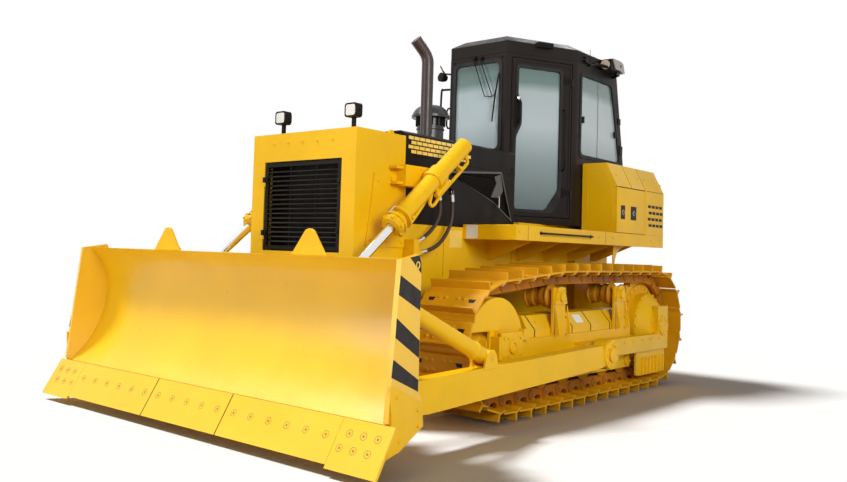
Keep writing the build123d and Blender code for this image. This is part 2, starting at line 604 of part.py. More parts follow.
with BuildPart() as cab_shell:
    with BuildSketch(Plane.XY.offset(CAB_FLOOR)):
        outline(*CAB_PLAN)
    extrude(amount=CAB_EAVES - CAB_FLOOR)
    split(bisect_by=back_cut, keep=Keep.BOTTOM)
    with BuildSketch(Plane.XY.offset(CAB_FLOOR)):
        outline(*CAB_PLAN)
        offset(amount=-CAB_WALL, kind=Kind.INTERSECTION, mode=Mode.REPLACE)
    inner = extrude(amount=CAB_EAVES - CAB_FLOOR, mode=Mode.PRIVATE)
    add(split(inner, bisect_by=back_cut.offset(-CAB_WALL), keep=Keep.BOTTOM, mode=Mode.PRIVATE), mode=Mode.SUBTRACT)
    # windscreen and rear window
    slab(-SCREEN_HALF, SCREEN_HALF, CAB_FRONT - CAB_WALL, CAB_FRONT + 2 * CAB_WALL, SCREEN_LOW, SCREEN_TOP, Mode.SUBTRACT)
    slab(-REAR_HALF, REAR_HALF, CAB_BACK_TOP - 3 * CAB_WALL, CAB_BACK + CAB_WALL, WINDOW_LOW, WINDOW_TOP, Mode.SUBTRACT)
    # side windows
    for side in (-1, 1):
        with BuildSketch(Plane.YZ.offset(side * CAB_HALF - 2 * CAB_WALL)):
            outline((SIDE_WINDOW[0], WINDOW_LOW), (SIDE_WINDOW[1], WINDOW_LOW), (SIDE_WINDOW[2], WINDOW_TOP),
                    (SIDE_WINDOW[0], WINDOW_TOP))
        extrude(amount=4 * CAB_WALL, mode=Mode.SUBTRACT)
    # doorways
    for side in (-1, 1):
        with BuildSketch(Plane(origin=(side * CAB_NOSE, CAB_FRONT, CAB_SILL), z_dir=(0, 0, 1),
                               x_dir=(side * (CAB_HALF - CAB_NOSE), CAB_CORNER - CAB_FRONT, 0))):
            with Locations((DOOR_RUN / 2, 0)):
                Rectangle(DOOR_RUN - 2 * POST, 5 * CAB_WALL)
        extrude(amount=DOOR_TOP - CAB_SILL, mode=Mode.SUBTRACT)
        knuckles(side * PIN_X, PIN_Y, DOOR_HINGES, KNUCKLE_R + RUN, DOOR_KNUCKLE + 2 * RUN, Mode.SUBTRACT)
        knuckles(side * PIN_X, PIN_Y, frame_side(DOOR_HINGES), KNUCKLE_R, FRAME_KNUCKLE)
with BuildPart() as cab_roof:
    with BuildSketch(Plane.XY.offset(CAB_EAVES)):
        outline(*ROOF_PLAN)
    extrude(amount=ROOF_FASCIA)
    with BuildSketch(Plane.XY.offset(CAB_EAVES + ROOF_FASCIA)):
        outline(*ROOF_PLAN)
    extrude(amount=ROOF_RISE, taper=60)
with BuildPart() as cab_floor:
    with BuildSketch(Plane.XY.offset(CAB_FLOOR)):
        outline(*CAB_PLAN)
        offset(amount=-CAB_WALL, kind=Kind.INTERSECTION, mode=Mode.REPLACE)
    extrude(amount=FLOOR_THICK)
with BuildPart() as seat:
    slab(-250, 250, 1250, 1700, CAB_FLOOR + FLOOR_THICK, CAB_FLOOR + 330)
    slab(-250, 250, 1250, 1760, CAB_FLOOR + 330, CAB_FLOOR + 450)
    slab(-240, 240, 1640, 1760, CAB_FLOOR + 450, CAB_FLOOR + 1000)
with BuildPart() as console:
    slab(-230, 230, CAB_FRONT + CAB_WALL, CAB_FRONT + 260, CAB_FLOOR + FLOOR_THICK, CAB_FLOOR + 560)
    for side in (-1, 1):
        slab(side * 330, side * 500, 1300, 1760, CAB_FLOOR + FLOOR_THICK, CAB_FLOOR + 560)
# the door's window: front edge with the handle's bay, cut rear-low corner; (run, height)
DOOR_WINDOW = ((108, CAB_SILL + 60), (507, CAB_SILL + 60), (590, CAB_SILL + 185), (590, 2860), (130, 2860), (126, 2600), (168, 2540),
               (168, 2340), (112, 2230))
door_plane = Plane(origin=(CAB_NOSE, CAB_FRONT, 0), x_dir=(CAB_HALF - CAB_NOSE, CAB_CORNER - CAB_FRONT, 0),
                   z_dir=(CAB_CORNER - CAB_FRONT, CAB_NOSE - CAB_HALF, 0))
with BuildPart() as door_left:
    with BuildSketch(door_plane.offset(-CAB_WALL)):
        outline((POST + GAP, CAB_SILL + GAP), (DOOR_RUN - POST - GAP, CAB_SILL + GAP),
                (DOOR_RUN - POST - GAP, DOOR_TOP - GAP), (POST + GAP, DOOR_TOP - GAP))
        outline(*DOOR_WINDOW, mode=Mode.SUBTRACT)
    extrude(amount=CAB_WALL)
    knuckles(PIN_X, PIN_Y, frame_side(DOOR_HINGES), KNUCKLE_R + RUN, FRAME_KNUCKLE + 2 * RUN, Mode.SUBTRACT)
    knuckles(PIN_X, PIN_Y, DOOR_HINGES, KNUCKLE_R, DOOR_KNUCKLE)
door_right = mirrored(door_left)
with BuildPart() as door_glass_left:
    with BuildSketch(door_plane.offset(-PANE_IN - PANE)):
        outline(*DOOR_WINDOW)
    extrude(amount=PANE)
door_glass_right = mirrored(door_glass_left)
lean = (CAB_BACK_TOP - CAB_BACK) / (CAB_EAVES - WINDOW_LOW)
rear_pane = [(CAB_BACK - inset + lean * (z - WINDOW_LOW), z)
             for inset, z in ((PANE_IN, WINDOW_LOW), (PANE_IN, WINDOW_TOP), (PANE_IN + PANE, WINDOW_TOP), (PANE_IN + PANE, WINDOW_LOW))]
with BuildPart() as cab_glass:
    slab(-SCREEN_HALF, SCREEN_HALF, CAB_FRONT + PANE_IN, CAB_FRONT + PANE_IN + PANE, SCREEN_LOW, SCREEN_TOP)
    for side in (-1, 1):
        with BuildSketch(Plane.YZ.offset(side * (CAB_HALF - PANE_IN - PANE / 2) - PANE / 2)):
            outline((SIDE_WINDOW[0], WINDOW_LOW), (SIDE_WINDOW[1], WINDOW_LOW), (SIDE_WINDOW[2], WINDOW_TOP),
                    (SIDE_WINDOW[0], WINDOW_TOP))
        extrude(amount=PANE)
    with BuildSketch(Plane.YZ.offset(-REAR_HALF)):
        outline(*rear_pane)
    extrude(amount=2 * REAR_HALF)
with BuildPart() as roof_lamps:
    for side in (-1, 1):
        slab(side * CAB_HALF, side * (CAB_HALF + 130), 1600, 1760, CAB_EAVES, CAB_EAVES + ROOF_FASCIA)

# ================================================================ deck and rear body
with BuildPart() as fender_left:
    slab(SKIRT_OUT, FENDER_OUT, FENDER_FRONT, TANK_BACK, FENDER_TOP - DECK_PLATE, FENDER_TOP)
    slab(FENDER_OUT - DECK_PLATE, FENDER_OUT, FENDER_FRONT, TANK_BACK, FENDER_LOW, FENDER_TOP - DECK_PLATE)
    slab(SKIRT_OUT, FENDER_OUT - DECK_PLATE, FENDER_FRONT, FENDER_FRONT + DECK_PLATE, FENDER_LOW, FENDER_TOP - DECK_PLATE)
    for y in GUSSETS_Y:
        with BuildSketch(Plane.XZ.offset(-y)):
            outline((SKIRT_OUT, FENDER_TOP - DECK_PLATE), (SKIRT_OUT, 1130), (SKIRT_OUT + 60, 1130),
                    (FENDER_OUT - 60, FENDER_LOW), (FENDER_OUT - DECK_PLATE, FENDER_LOW),
                    (FENDER_OUT - DECK_PLATE, FENDER_TOP - DECK_PLATE))
        extrude(amount=DECK_PLATE)
fender_right = mirrored(fender_left)
with BuildPart() as fuel_tank:
    with BuildSketch(Plane.XZ.offset(-TANK_BACK)):
        outline((-TANK_HALF, FENDER_TOP), (TANK_HALF, FENDER_TOP), (TANK_HALF, TANK_SHOULDER), (TANK_RIDGE_X, TANK_TOP),
                (-TANK_RIDGE_X, TANK_TOP), (-TANK_HALF, TANK_SHOULDER))
    extrude(amount=TANK_BACK - TANK_FRONT)
    slab(-CAB_HALF - GAP, CAB_HALF + GAP, TANK_FRONT - 10, CAB_BACK + GAP, FENDER_TOP - 10, TANK_TOP + 10, Mode.SUBTRACT)
with BuildPart() as rear_box_left:
    with BuildSketch(Plane.XZ.offset(-TANK_FRONT)):
        outline((CAB_HALF + GAP, FENDER_TOP), (TANK_HALF - BOX_SKIN, FENDER_TOP), (TANK_HALF - BOX_SKIN, TANK_SHOULDER),
                (TANK_HALF, TANK_SHOULDER), (TANK_RIDGE_X, TANK_TOP), (CAB_HALF + GAP, TANK_TOP))
    extrude(amount=TANK_FRONT - BOX_FRONT)
rear_box_right = mirrored(rear_box_left)
with BuildPart() as box_door_left:
    slab(TANK_HALF - BOX_SKIN, TANK_HALF, BOX_FRONT, TANK_FRONT - GAP, FENDER_TOP + 5, TANK_SHOULDER - 5)
box_door_right = mirrored(box_door_left)
with BuildPart() as cab_mount:
    slab(-480, 480, CAB_FRONT, TANK_FRONT, FENDER_TOP, CAB_FLOOR)
    slab(-SKIRT_OUT, SKIRT_OUT, SKIRT_BACK, TANK_BACK, CASE_TOP, FENDER_TOP - DECK_PLATE)
    slab(-SKIRT_OUT, SKIRT_OUT, HOOD_BACK, TANK_BACK, FENDER_TOP - DECK_PLATE, FENDER_TOP)

# ================================================================ blade
BLADE_TOP = 1132
MOULD_LIP = (-2440, BLADE_TOP)    # moldboard's face: top, deepest point, foot
MOULD_DEEP = (-2296, 830)
MOULD_FOOT = (-2554, 287)
EDGE_TOP = (-2575, 290)
EDGE_TIP = (-2712.5, 65)
BIT_TIP = (-2723.5, 47)
BACK_TOP = (-2557, 281)      # the plane on which edge and end bits are bolted
BACK_LOW = (-2690, 60)
BIT_IN = 1295
BIT_OUT = 1648.5
EDGE_JOINT = 2


def mould_radius(end):
    """Radius of the arc from the moldboard's deepest point, where it is upright, to an end."""
    dy, dz = MOULD_DEEP[0] - end[0], MOULD_DEEP[1] - end[1]
    return (dy ** 2 + dz ** 2) / (2 * dy)


def mould(depth, z):
    """Point of the moldboard at height z, a depth behind its face."""
    radius = mould_radius(MOULD_LIP if z > MOULD_DEEP[1] else MOULD_FOOT)
    return MOULD_DEEP[0] - radius + ((radius + depth) ** 2 - (z - MOULD_DEEP[1]) ** 2) ** 0.5, z


def bolt_face(t):
    """Point on the bolting plane, 0 at its top and 1 at the cutting edge's heel."""
    return BACK_TOP[0] + (BACK_LOW[0] - BACK_TOP[0]) * t, BACK_TOP[1] + (BACK_LOW[1] - BACK_TOP[1]) * t


BOX_BACK_TOP = -2180
BOX_BACK_LOW = -2290
BOX_UNDER = 990      # underside of the upper box beam
BOX_OVER = 470       # top of the lower box beam
BOX_HALF = BLADE_HALF - 174
RIB_OUT = BLADE_HALF - 414
WING_TOE = radians(9)
WING_Y = -2540       # where a wing's face is BLADE_HALF out; its outline is (run back from there, z)
WING = ((50, BLADE_TOP - 2), (-37, 300), (-9, 284), (-95, 139), (-61, 118), (53, 133), (319, 231), (299, 390),
        (266, 420), (263, BLADE_TOP - 20), (238, BLADE_TOP + 28))
BRACE_LOW = (-1318, 515)
BRACE_HIGH = (-2190, 875)
BRACE_R = 52
LOW_EYE_R = 55
HIGH_EYE_R = 53
EYE_HALF = 40        # half width of a brace's eye
BRACE_EAR = 18
rib_x = (0, LIFT_X - EAR_GAP / 2 - EAR / 2, LIFT_X + EAR_GAP / 2 + EAR / 2, RIB_OUT)
ears = ([(side * x, EAR) for side in (-1, 1) for x in (LIFT_X - (EAR_GAP + EAR) / 2, LIFT_X + (EAR_GAP + EAR) / 2)],
        [(side * (ARM_X + way * (EYE_HALF + RUN + BRACE_EAR / 2)), BRACE_EAR) for side in (-1, 1) for way in (-1, 1)])


def wing_plane(side):
    """Face of a wing, x running back and y up; its normal points to +X."""
    return Plane(origin=(side * BLADE_HALF, WING_Y, 0), x_dir=(-side * sin(WING_TOE), cos(WING_TOE), 0),
                 z_dir=(cos(WING_TOE), side * sin(WING_TOE), 0))


with BuildPart() as blade:
    inside = MOULD_THICK * 0.6
    with BuildSketch(Plane.YZ.offset(-BLADE_HALF)):
        with BuildLine():
            for depth in (0, MOULD_THICK):
                deep = (MOULD_DEEP[0] + depth, MOULD_DEEP[1])
                TangentArc(deep, mould(depth, BLADE_TOP), tangent=(0, 1))
                TangentArc(deep, mould(depth, MOULD_FOOT[1]), tangent=(0, -1))
            Line(mould(0, BLADE_TOP), mould(MOULD_THICK, BLADE_TOP))
            Line(mould(0, MOULD_FOOT[1]), mould(MOULD_THICK, MOULD_FOOT[1]))
        make_face()
        outline(bolt_face(0.02), bolt_face(0.65), (-2600, 118), (-2470, 200), (BOX_BACK_LOW, 200),
                (BOX_BACK_LOW, BOX_OVER), mould(inside, BOX_OVER), mould(inside, MOULD_FOOT[1] + 60), mould(inside, MOULD_FOOT[1]))
    extrude(amount=2 * BLADE_HALF)
    for side in (-1, 1):
        split(bisect_by=wing_plane(side).offset(-side * WING_THICK / 2), keep=Keep.BOTTOM if side > 0 else Keep.TOP)
    with BuildSketch(Plane.YZ.offset(-BOX_HALF)):
        outline(mould(inside, BLADE_TOP), (BOX_BACK_TOP, BLADE_TOP), (BOX_BACK_TOP, BOX_UNDER), mould(inside, BOX_UNDER),
                mould(inside, (BLADE_TOP + BOX_UNDER) / 2))
    extrude(amount=2 * BOX_HALF)
    for x in rib_x:
        for side in ((-1, 1) if x else (1,)):
            with BuildSketch(Plane.YZ.offset(side * x - EAR / 2)):
                outline(mould(inside, BOX_OVER), (BOX_BACK_LOW, BOX_OVER), (BOX_BACK_TOP, BOX_UNDER), mould(inside, BOX_UNDER),
                        mould(inside, 910), mould(inside, MOULD_DEEP[1]), mould(inside, 740), mould(inside, 650), mould(inside, 560))
            extrude(amount=EAR)
    # ears for the lift cylinders' rods, then for the braces
    for x, thick in ears[0]:
        with BuildSketch(Plane.YZ.offset(x - thick / 2)):
            outline(mould(inside, 700), (-2120, 860), (-2060, 875), (-2045, 925), (-2060, 975), (BOX_BACK_TOP, 1040),
                    *[mould(inside, z) for z in (1040, 960, 880, 790)])
        extrude(amount=thick)
    for x, thick in ears[1]:
        with BuildSketch(Plane.YZ.offset(x - thick / 2)):
            y, z = BRACE_HIGH
            outline(mould(inside, z - 105), (y + 5, z - 48), (y + 38, z - 20), (y + 38, z + 20), (y + 5, z + 48),
                    mould(inside, z + 105), mould(inside, z))
        extrude(amount=thick)
    for side in (-1, 1):
        with BuildSketch(wing_plane(side)):
            outline(*WING)
        extrude(amount=-side * WING_THICK)

with BuildPart() as cutting_edge:
    with BuildSketch(Plane.YZ.offset(-BIT_IN + EDGE_JOINT)):
        outline(EDGE_TOP, EDGE_TIP, BACK_LOW, BACK_TOP)
    extrude(amount=2 * (BIT_IN - EDGE_JOINT))
    for side in (-1, 1):
        middle = side * (BIT_IN + BIT_OUT) / 2
        with BuildSketch(Plane.YZ.offset(middle - (BIT_OUT - BIT_IN) / 2)):
            outline(EDGE_TOP, BIT_TIP, bolt_face(1.07), BACK_TOP)
        extrude(amount=BIT_OUT - BIT_IN)
with BuildPart() as spill_plates:
    for side in (-1, 1):
        with BuildSketch(Plane.XZ.offset(2310)):
            outline((side * LIFT_X - 150, BLADE_TOP), (side * LIFT_X + 150, BLADE_TOP), (side * LIFT_X + 30, 1295),
                    (side * LIFT_X - 30, 1295))
        extrude(amount=18)

# ================================================================ push arms and braces
ARM_HUB_R = 120
ARM_BACK = 240
with BuildPart() as push_arm_left:
    with BuildSketch(Plane.YZ.offset(ARM_X - ARM_WIDE / 2)):
        outline((BOX_BACK_LOW, 228), (BOX_BACK_LOW, 432), (ARM_BACK, 488), (ARM_BACK + 60, 330), (ARM_BACK, 318))
    extrude(amount=ARM_WIDE)
    drum(PIVOT_Y, PIVOT_Z, ARM_X - ARM_WIDE / 2, ARM_X + ARM_WIDE / 2, ARM_HUB_R)
    drum(PIVOT_Y, PIVOT_Z, ARM_X - ARM_WIDE / 2, ARM_X + ARM_WIDE / 2, 55 + RUN, Mode.SUBTRACT)
    # lug that takes the brace
    slab(ARM_X - 45, ARM_X + 45, BRACE_LOW[0] - 60, BRACE_LOW[0] + 60, 430, BRACE_LOW[1] - LOW_EYE_R - RUN)
push_arm_right = mirrored(push_arm_left)
brace_run = hypot(BRACE_HIGH[0] - BRACE_LOW[0], BRACE_HIGH[1] - BRACE_LOW[1])
brace_plane = Plane(origin=(ARM_X, *BRACE_LOW), x_dir=(1, 0, 0),
                    z_dir=(0, BRACE_HIGH[0] - BRACE_LOW[0], BRACE_HIGH[1] - BRACE_LOW[1]))
with BuildPart() as brace_left:
    with BuildSketch(brace_plane):
        Circle(BRACE_R)
    extrude(amount=brace_run - HIGH_EYE_R + 2)
    for end, radius in ((BRACE_LOW, LOW_EYE_R), (BRACE_HIGH, HIGH_EYE_R)):
        drum(*end, ARM_X - EYE_HALF, ARM_X + EYE_HALF, radius)
brace_right = mirrored(brace_left)

# ================================================================ lift cylinders
eye_at = hypot(ROD_EYE_Y - TRUNNION_Y, ROD_EYE_Z - TRUNNION_Z)
lift_plane = Plane(origin=(LIFT_X, TRUNNION_Y, TRUNNION_Z), x_dir=(1, 0, 0),
                   z_dir=(0, ROD_EYE_Y - TRUNNION_Y, ROD_EYE_Z - TRUNNION_Z))
with BuildPart() as lift_barrel_left:
    with BuildSketch(lift_plane.offset(-BARREL_UP)):
        Circle(BARREL_R)
    extrude(amount=BARREL_UP + BARREL_DOWN)
    with BuildSketch(lift_plane.offset(-55)):
        Circle(BARREL_R + 14)
    extrude(amount=110)
    with BuildSketch(lift_plane.offset(BARREL_DOWN - GLAND)):
        Circle(BARREL_R + 22)
    extrude(amount=GLAND)
    drum(TRUNNION_Y, TRUNNION_Z, GUARD_HALF + 4, LIFT_X, TRUNNION_PIN_R)
    with BuildSketch(lift_plane.offset(-BARREL_UP + BARREL_CAP)):
        Circle(BORE_R)
    extrude(amount=BARREL_UP + BARREL_DOWN - BARREL_CAP - GLAND, mode=Mode.SUBTRACT)
    with BuildSketch(lift_plane.offset(BARREL_DOWN - GLAND)):
        Circle(ROD_R + RUN)
    extrude(amount=GLAND, mode=Mode.SUBTRACT)
lift_barrel_right = mirrored(lift_barrel_left)
with BuildPart() as lift_rod_left:
    with BuildSketch(lift_plane.offset(eye_at - ROD_LONG)):
        Circle(ROD_R)
    extrude(amount=ROD_LONG)
    with BuildSketch(lift_plane.offset(eye_at - ROD_LONG - PISTON)):
        Circle(BORE_R - RUN)
    extrude(amount=PISTON)
    drum(ROD_EYE_Y, ROD_EYE_Z, LIFT_X - ROD_EYE_WIDE / 2, LIFT_X + ROD_EYE_WIDE / 2, ROD_EYE_R)
lift_rod_right = mirrored(lift_rod_left)

# ================================================================ files
pieces = {
    "track_left": track_left, "track_right": track_right,
    "rollers_left": rollers_left, "rollers_right": rollers_right,
    "idler_left": idler_left, "idler_right": idler_right,
    "final_drive_left": final_drive_left, "final_drive_right": final_drive_right,
    "track_frame_left": track_frame_left, "track_frame_right": track_frame_right,
    "main_frame": main_frame, "equalizer_bar": equalizer_bar, "engine_block": engine_block,
    "rear_case": rear_case, "drawbar": drawbar,
    "radiator_guard": radiator_guard, "radiator_core": radiator_core, "grille_door": grille_door,
    "headlamps": headlamps, "hood": hood, "exhaust_pipe": exhaust_pipe, "precleaner": precleaner,
    "cab_shell": cab_shell, "cab_roof": cab_roof, "cab_floor": cab_floor, "cab_mount": cab_mount,
    "seat": seat, "console": console, "cab_glass": cab_glass, "roof_lamps": roof_lamps,
    "door_left": door_left, "door_right": door_right,
    "door_glass_left": door_glass_left, "door_glass_right": door_glass_right,
    "fender_left": fender_left, "fender_right": fender_right, "fuel_tank": fuel_tank,
    "rear_box_left": rear_box_left, "rear_box_right": rear_box_right,
    "box_door_left": box_door_left, "box_door_right": box_door_right,
    "blade": blade, "cutting_edge": cutting_edge, "spill_plates": spill_plates,
    "push_arm_left": push_arm_left, "push_arm_right": push_arm_right,
    "brace_left": brace_left, "brace_right": brace_right,
    "lift_barrel_left": lift_barrel_left, "lift_barrel_right": lift_barrel_right,
    "lift_rod_left": lift_rod_left, "lift_rod_right": lift_rod_right,
    "hose_short_left": hose_short_left, "hose_short_right": hose_short_right,
    "hose_long_left": hose_long_left, "hose_long_right": hose_long_right,
}
os.makedirs("parts", exist_ok=True)
for name, piece in pieces.items():
    piece.part.label = name
    export_step(piece.part, f"parts/{name}.step")
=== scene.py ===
"""Looks of the bulldozer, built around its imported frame. Metres; -Y ahead, +X the machine's left."""
import math

import bmesh
import bpy
from mathutils import Matrix, Vector


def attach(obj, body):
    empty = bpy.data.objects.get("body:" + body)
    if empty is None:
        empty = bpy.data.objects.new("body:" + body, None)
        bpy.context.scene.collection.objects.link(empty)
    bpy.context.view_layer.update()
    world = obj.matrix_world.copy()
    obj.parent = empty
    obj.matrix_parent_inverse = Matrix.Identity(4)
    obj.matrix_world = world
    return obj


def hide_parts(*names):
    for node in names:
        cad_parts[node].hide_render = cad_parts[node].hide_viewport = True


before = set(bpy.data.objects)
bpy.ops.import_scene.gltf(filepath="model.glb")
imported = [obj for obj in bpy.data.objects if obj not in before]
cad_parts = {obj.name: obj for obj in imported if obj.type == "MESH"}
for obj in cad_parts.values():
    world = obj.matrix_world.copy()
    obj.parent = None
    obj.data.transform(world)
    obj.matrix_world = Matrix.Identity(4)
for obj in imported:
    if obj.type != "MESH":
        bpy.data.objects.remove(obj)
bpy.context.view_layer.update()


# ---------------------------------------------------------------- materials
def new_material(name):
    """Material with its nodes, links and shader."""
    mat = bpy.data.materials.new(name)
    mat.use_nodes = True
    return mat, mat.node_tree.nodes, mat.node_tree.links, mat.node_tree.nodes["Principled BSDF"]


def sums(nodes, links, operation, *terms):
    """Math node over the terms, each an output or a number."""
    node = nodes.new("ShaderNodeMath")
    node.operation = operation
    for socket, term in zip(node.inputs, terms):
        if isinstance(term, bpy.types.NodeSocket):
            links.new(term, socket)
        else:
            socket.default_value = term
    return node.outputs[0]


def colour_mix(nodes, links, factor, first, second):
    """Colour mix of two outputs or colours."""
    node = nodes.new("ShaderNodeMix")
    node.data_type = "RGBA"
    links.new(factor, node.inputs["Factor"])
    for socket, colour in ((node.inputs["A"], first), (node.inputs["B"], second)):
        if isinstance(colour, bpy.types.NodeSocket):
            links.new(colour, socket)
        else:
            socket.default_value = (*colour, 1)
    return node.outputs["Result"]


def noise(nodes, links, scale, detail, rough=0.55):
    """Noise in the object's own space."""
    coord = nodes.new("ShaderNodeTexCoord")
    tex = nodes.new("ShaderNodeTexNoise")
    tex.inputs["Scale"].default_value = scale
    tex.inputs["Detail"].default_value = detail
    tex.inputs["Roughness"].default_value = rough
    links.new(coord.outputs["Object"], tex.inputs["Vector"])
    return tex.outputs["Fac"]


def ramp(nodes, links, source, stops):
    """Colour ramp through (place, colour) stops."""
    node = nodes.new("ShaderNodeValToRGB")
    elements = node.color_ramp.elements
    while len(elements) < len(stops):
        elements.new(0.5)
    for element, (place, colour) in zip(elements, stops):
        element.position = place
        element.color = (*colour, 1.0)
    links.new(source, node.inputs["Fac"])
    return node.outputs["Color"]


def shade(colour, k):
    """The colour k times as bright."""
    return tuple(min(1.0, c * k) for c in colour)


def vary_gloss(nodes, links, bsdf, source, low, high):
    """Roughness that goes from low to high with the source."""
    links.new(ramp(nodes, links, source, [(0.3, (low,) * 3), (0.7, (high,) * 3)]), bsdf.inputs["Roughness"])


# noise scales per metre: slow drift of colour, patches of gloss, orange peel, breakup of the lighter edges
# (scuffs and painted highlight)
DRIFT, GLOSS, PEEL, SCUFF_AND_HIGHLIGHT = 1.7, 9, 420, 34
EDGE_REACH = 0.006        # how far the lighter edges, partly rubbed paint and partly a painted highlight, go in from an edge


def painted(name, colour, rough=0.32, coat=0.35, spread=0.06, peel=0.02, edge_wear_and_highlight=0.0, worn_and_highlit_colour=(0.35, 0.33, 0.3),
            spec=0.5):
    """Sprayed paint: slow colour drift, orange peel, gloss that varies and lighter edges, partly rubbed paint
    and partly a painted highlight.
    """
    mat, nodes, links, bsdf = new_material(name)
    colour_out = ramp(nodes, links, noise(nodes, links, DRIFT, 4),
                      [(0.35, shade(colour, 1 - spread)), (0.65, shade(colour, 1 + spread))])
    # lighter colour along the rounded edges: partly paint rubbed off, partly a painted highlight where light
    # catches the edges
    if edge_wear_and_highlight:
        bevel = nodes.new("ShaderNodeBevel")
        bevel.samples = 4
        bevel.inputs["Radius"].default_value = EDGE_REACH
        geometry = nodes.new("ShaderNodeNewGeometry")
        dot = nodes.new("ShaderNodeVectorMath")
        dot.operation = "DOT_PRODUCT"
        links.new(bevel.outputs["Normal"], dot.inputs[0])
        links.new(geometry.outputs["Normal"], dot.inputs[1])
        edge = sums(nodes, links, "SUBTRACT", 1.0, dot.outputs["Value"])
        scuffs_and_highlights = sums(nodes, links, "MULTIPLY", edge, noise(nodes, links, SCUFF_AND_HIGHLIGHT, 5, 0.7))
        mask = ramp(nodes, links, scuffs_and_highlights, [(0.06, (0, 0, 0)), (0.16, (edge_wear_and_highlight,) * 3)])
        colour_out = colour_mix(nodes, links, mask, colour_out, worn_and_highlit_colour)
    links.new(colour_out, bsdf.inputs["Base Color"])
    vary_gloss(nodes, links, bsdf, noise(nodes, links, GLOSS, 4), rough * 0.8, rough * 1.25)
    bsdf.inputs["Specular IOR Level"].default_value = spec
    bsdf.inputs["Coat Weight"].default_value = coat
    bsdf.inputs["Coat Roughness"].default_value = 0.12
    bump = nodes.new("ShaderNodeBump")
    bump.inputs["Strength"].default_value = peel
    bump.inputs["Distance"].default_value = 0.002
    links.new(noise(nodes, links, PEEL, 2), bump.inputs["Height"])
    links.new(bump.outputs["Normal"], bsdf.inputs["Normal"])
    return mat


# the panes' heights, and their colour from the foot to the green band along the top: painted shade dark at
# the foot, painted light pale in the middle, the green tint band along the top
PANE_LOW, PANE_HIGH = 1.55, 2.95
PANE_TINT_AND_PAINTED_LIGHT = ((0.06, (0.11, 0.17, 0.18)), (0.36, (0.30, 0.41, 0.43)), (0.62, (0.60, 0.70, 0.74)),
             (0.84, (0.52, 0.64, 0.66)), (0.90, (0.18, 0.29, 0.27)), (1.0, (0.13, 0.22, 0.20)))


def glass(name):
    """Pane with painted light: painted shade dark at its foot, painted light pale in the middle, and a green
    tint band along its top.
    """
    mat, nodes, links, bsdf = new_material(name)
    place = nodes.new("ShaderNodeTexCoord")
    split = nodes.new("ShaderNodeSeparateXYZ")
    links.new(place.outputs["Object"], split.inputs[0])
    height = nodes.new("ShaderNodeMapRange")
    height.inputs["From Min"].default_value, height.inputs["From Max"].default_value = PANE_LOW, PANE_HIGH
    links.new(split.outputs["Z"], height.inputs["Value"])
    wave = sums(nodes, links, "MULTIPLY_ADD", noise(nodes, links, 1.3, 2), 0.10, height.outputs["Result"])
    links.new(ramp(nodes, links, wave, PANE_TINT_AND_PAINTED_LIGHT), bsdf.inputs["Base Color"])
    bsdf.inputs["Roughness"].default_value = 0.04
    bsdf.inputs["IOR"].default_value = 1.45
    bsdf.inputs["Alpha"].default_value = 0.70
    bsdf.inputs["Coat Weight"].default_value = 1.0
    bsdf.inputs["Coat Roughness"].default_value = 0.03
    return mat


def metal(name, colour, rough):
    """Bare metal whose tone and gloss drift a little."""
    mat, nodes, links, bsdf = new_material(name)
    base = ramp(nodes, links, noise(nodes, links, 6, 4),
                [(0.3, shade(colour, 0.93)), (0.7, shade(colour, 1.05))])
    links.new(base, bsdf.inputs["Base Color"])
    bsdf.inputs["Metallic"].default_value = 1.0
    vary_gloss(nodes, links, bsdf, noise(nodes, links, 60, 3), rough * 0.7, rough * 1.3)
    return mat


def seen_ray(nodes, links):
    """1 where the camera, a reflection or clear glass looks, so that these show the backdrop."""
    path = nodes.new("ShaderNodeLightPath")
    seen = path.outputs["Is Camera Ray"]
    for way in ("Is Glossy Ray", "Is Transmission Ray"):
        seen = sums(nodes, links, "MAXIMUM", seen, path.outputs[way])
    return seen


YELLOW = (0.84, 0.485, 0.003)
yellow = painted("yellow_enamel", YELLOW, rough=0.40, coat=0.03, edge_wear_and_highlight=0.30, worn_and_highlit_colour=(0.92, 0.66, 0.10),
                 spec=0.22)
blade_yellow = painted("blade_enamel", YELLOW, rough=0.34, coat=0.30, spread=0.05, edge_wear_and_highlight=0.30,
                       worn_and_highlit_colour=(0.92, 0.68, 0.20), spec=0.45)
yellow_cast = painted("yellow_on_castings", (0.76, 0.41, 0.003), rough=0.48, coat=0.05, spec=0.3, spread=0.1,
                      peel=0.12, edge_wear_and_highlight=0.3, worn_and_highlit_colour=(0.9, 0.60, 0.1))
# deeper, more orange than the body's yellow: painted shade of the undercarriage on the track shoes and bolts
track_yellow_painted_shade = painted("track_yellow_with_painted_shade", (0.68, 0.33, 0.003), rough=0.52, coat=0.04, spec=0.25,
                       spread=0.14, peel=0.16, edge_wear_and_highlight=0.4, worn_and_highlit_colour=(0.88, 0.62, 0.16))
black = painted("black_enamel", (0.007, 0.005, 0.004), rough=0.40, coat=0.0, spread=0.2, edge_wear_and_highlight=0.3,
                worn_and_highlit_colour=(0.05, 0.04, 0.035), spec=0.10)
# dark grey, lighter than the black: a painted sheen standing for the shine of the side openings' frames
hood_frame_painted_sheen = painted("hood_frame_painted_sheen", (0.050, 0.044, 0.040), rough=0.35, coat=0.1, spread=0.15)
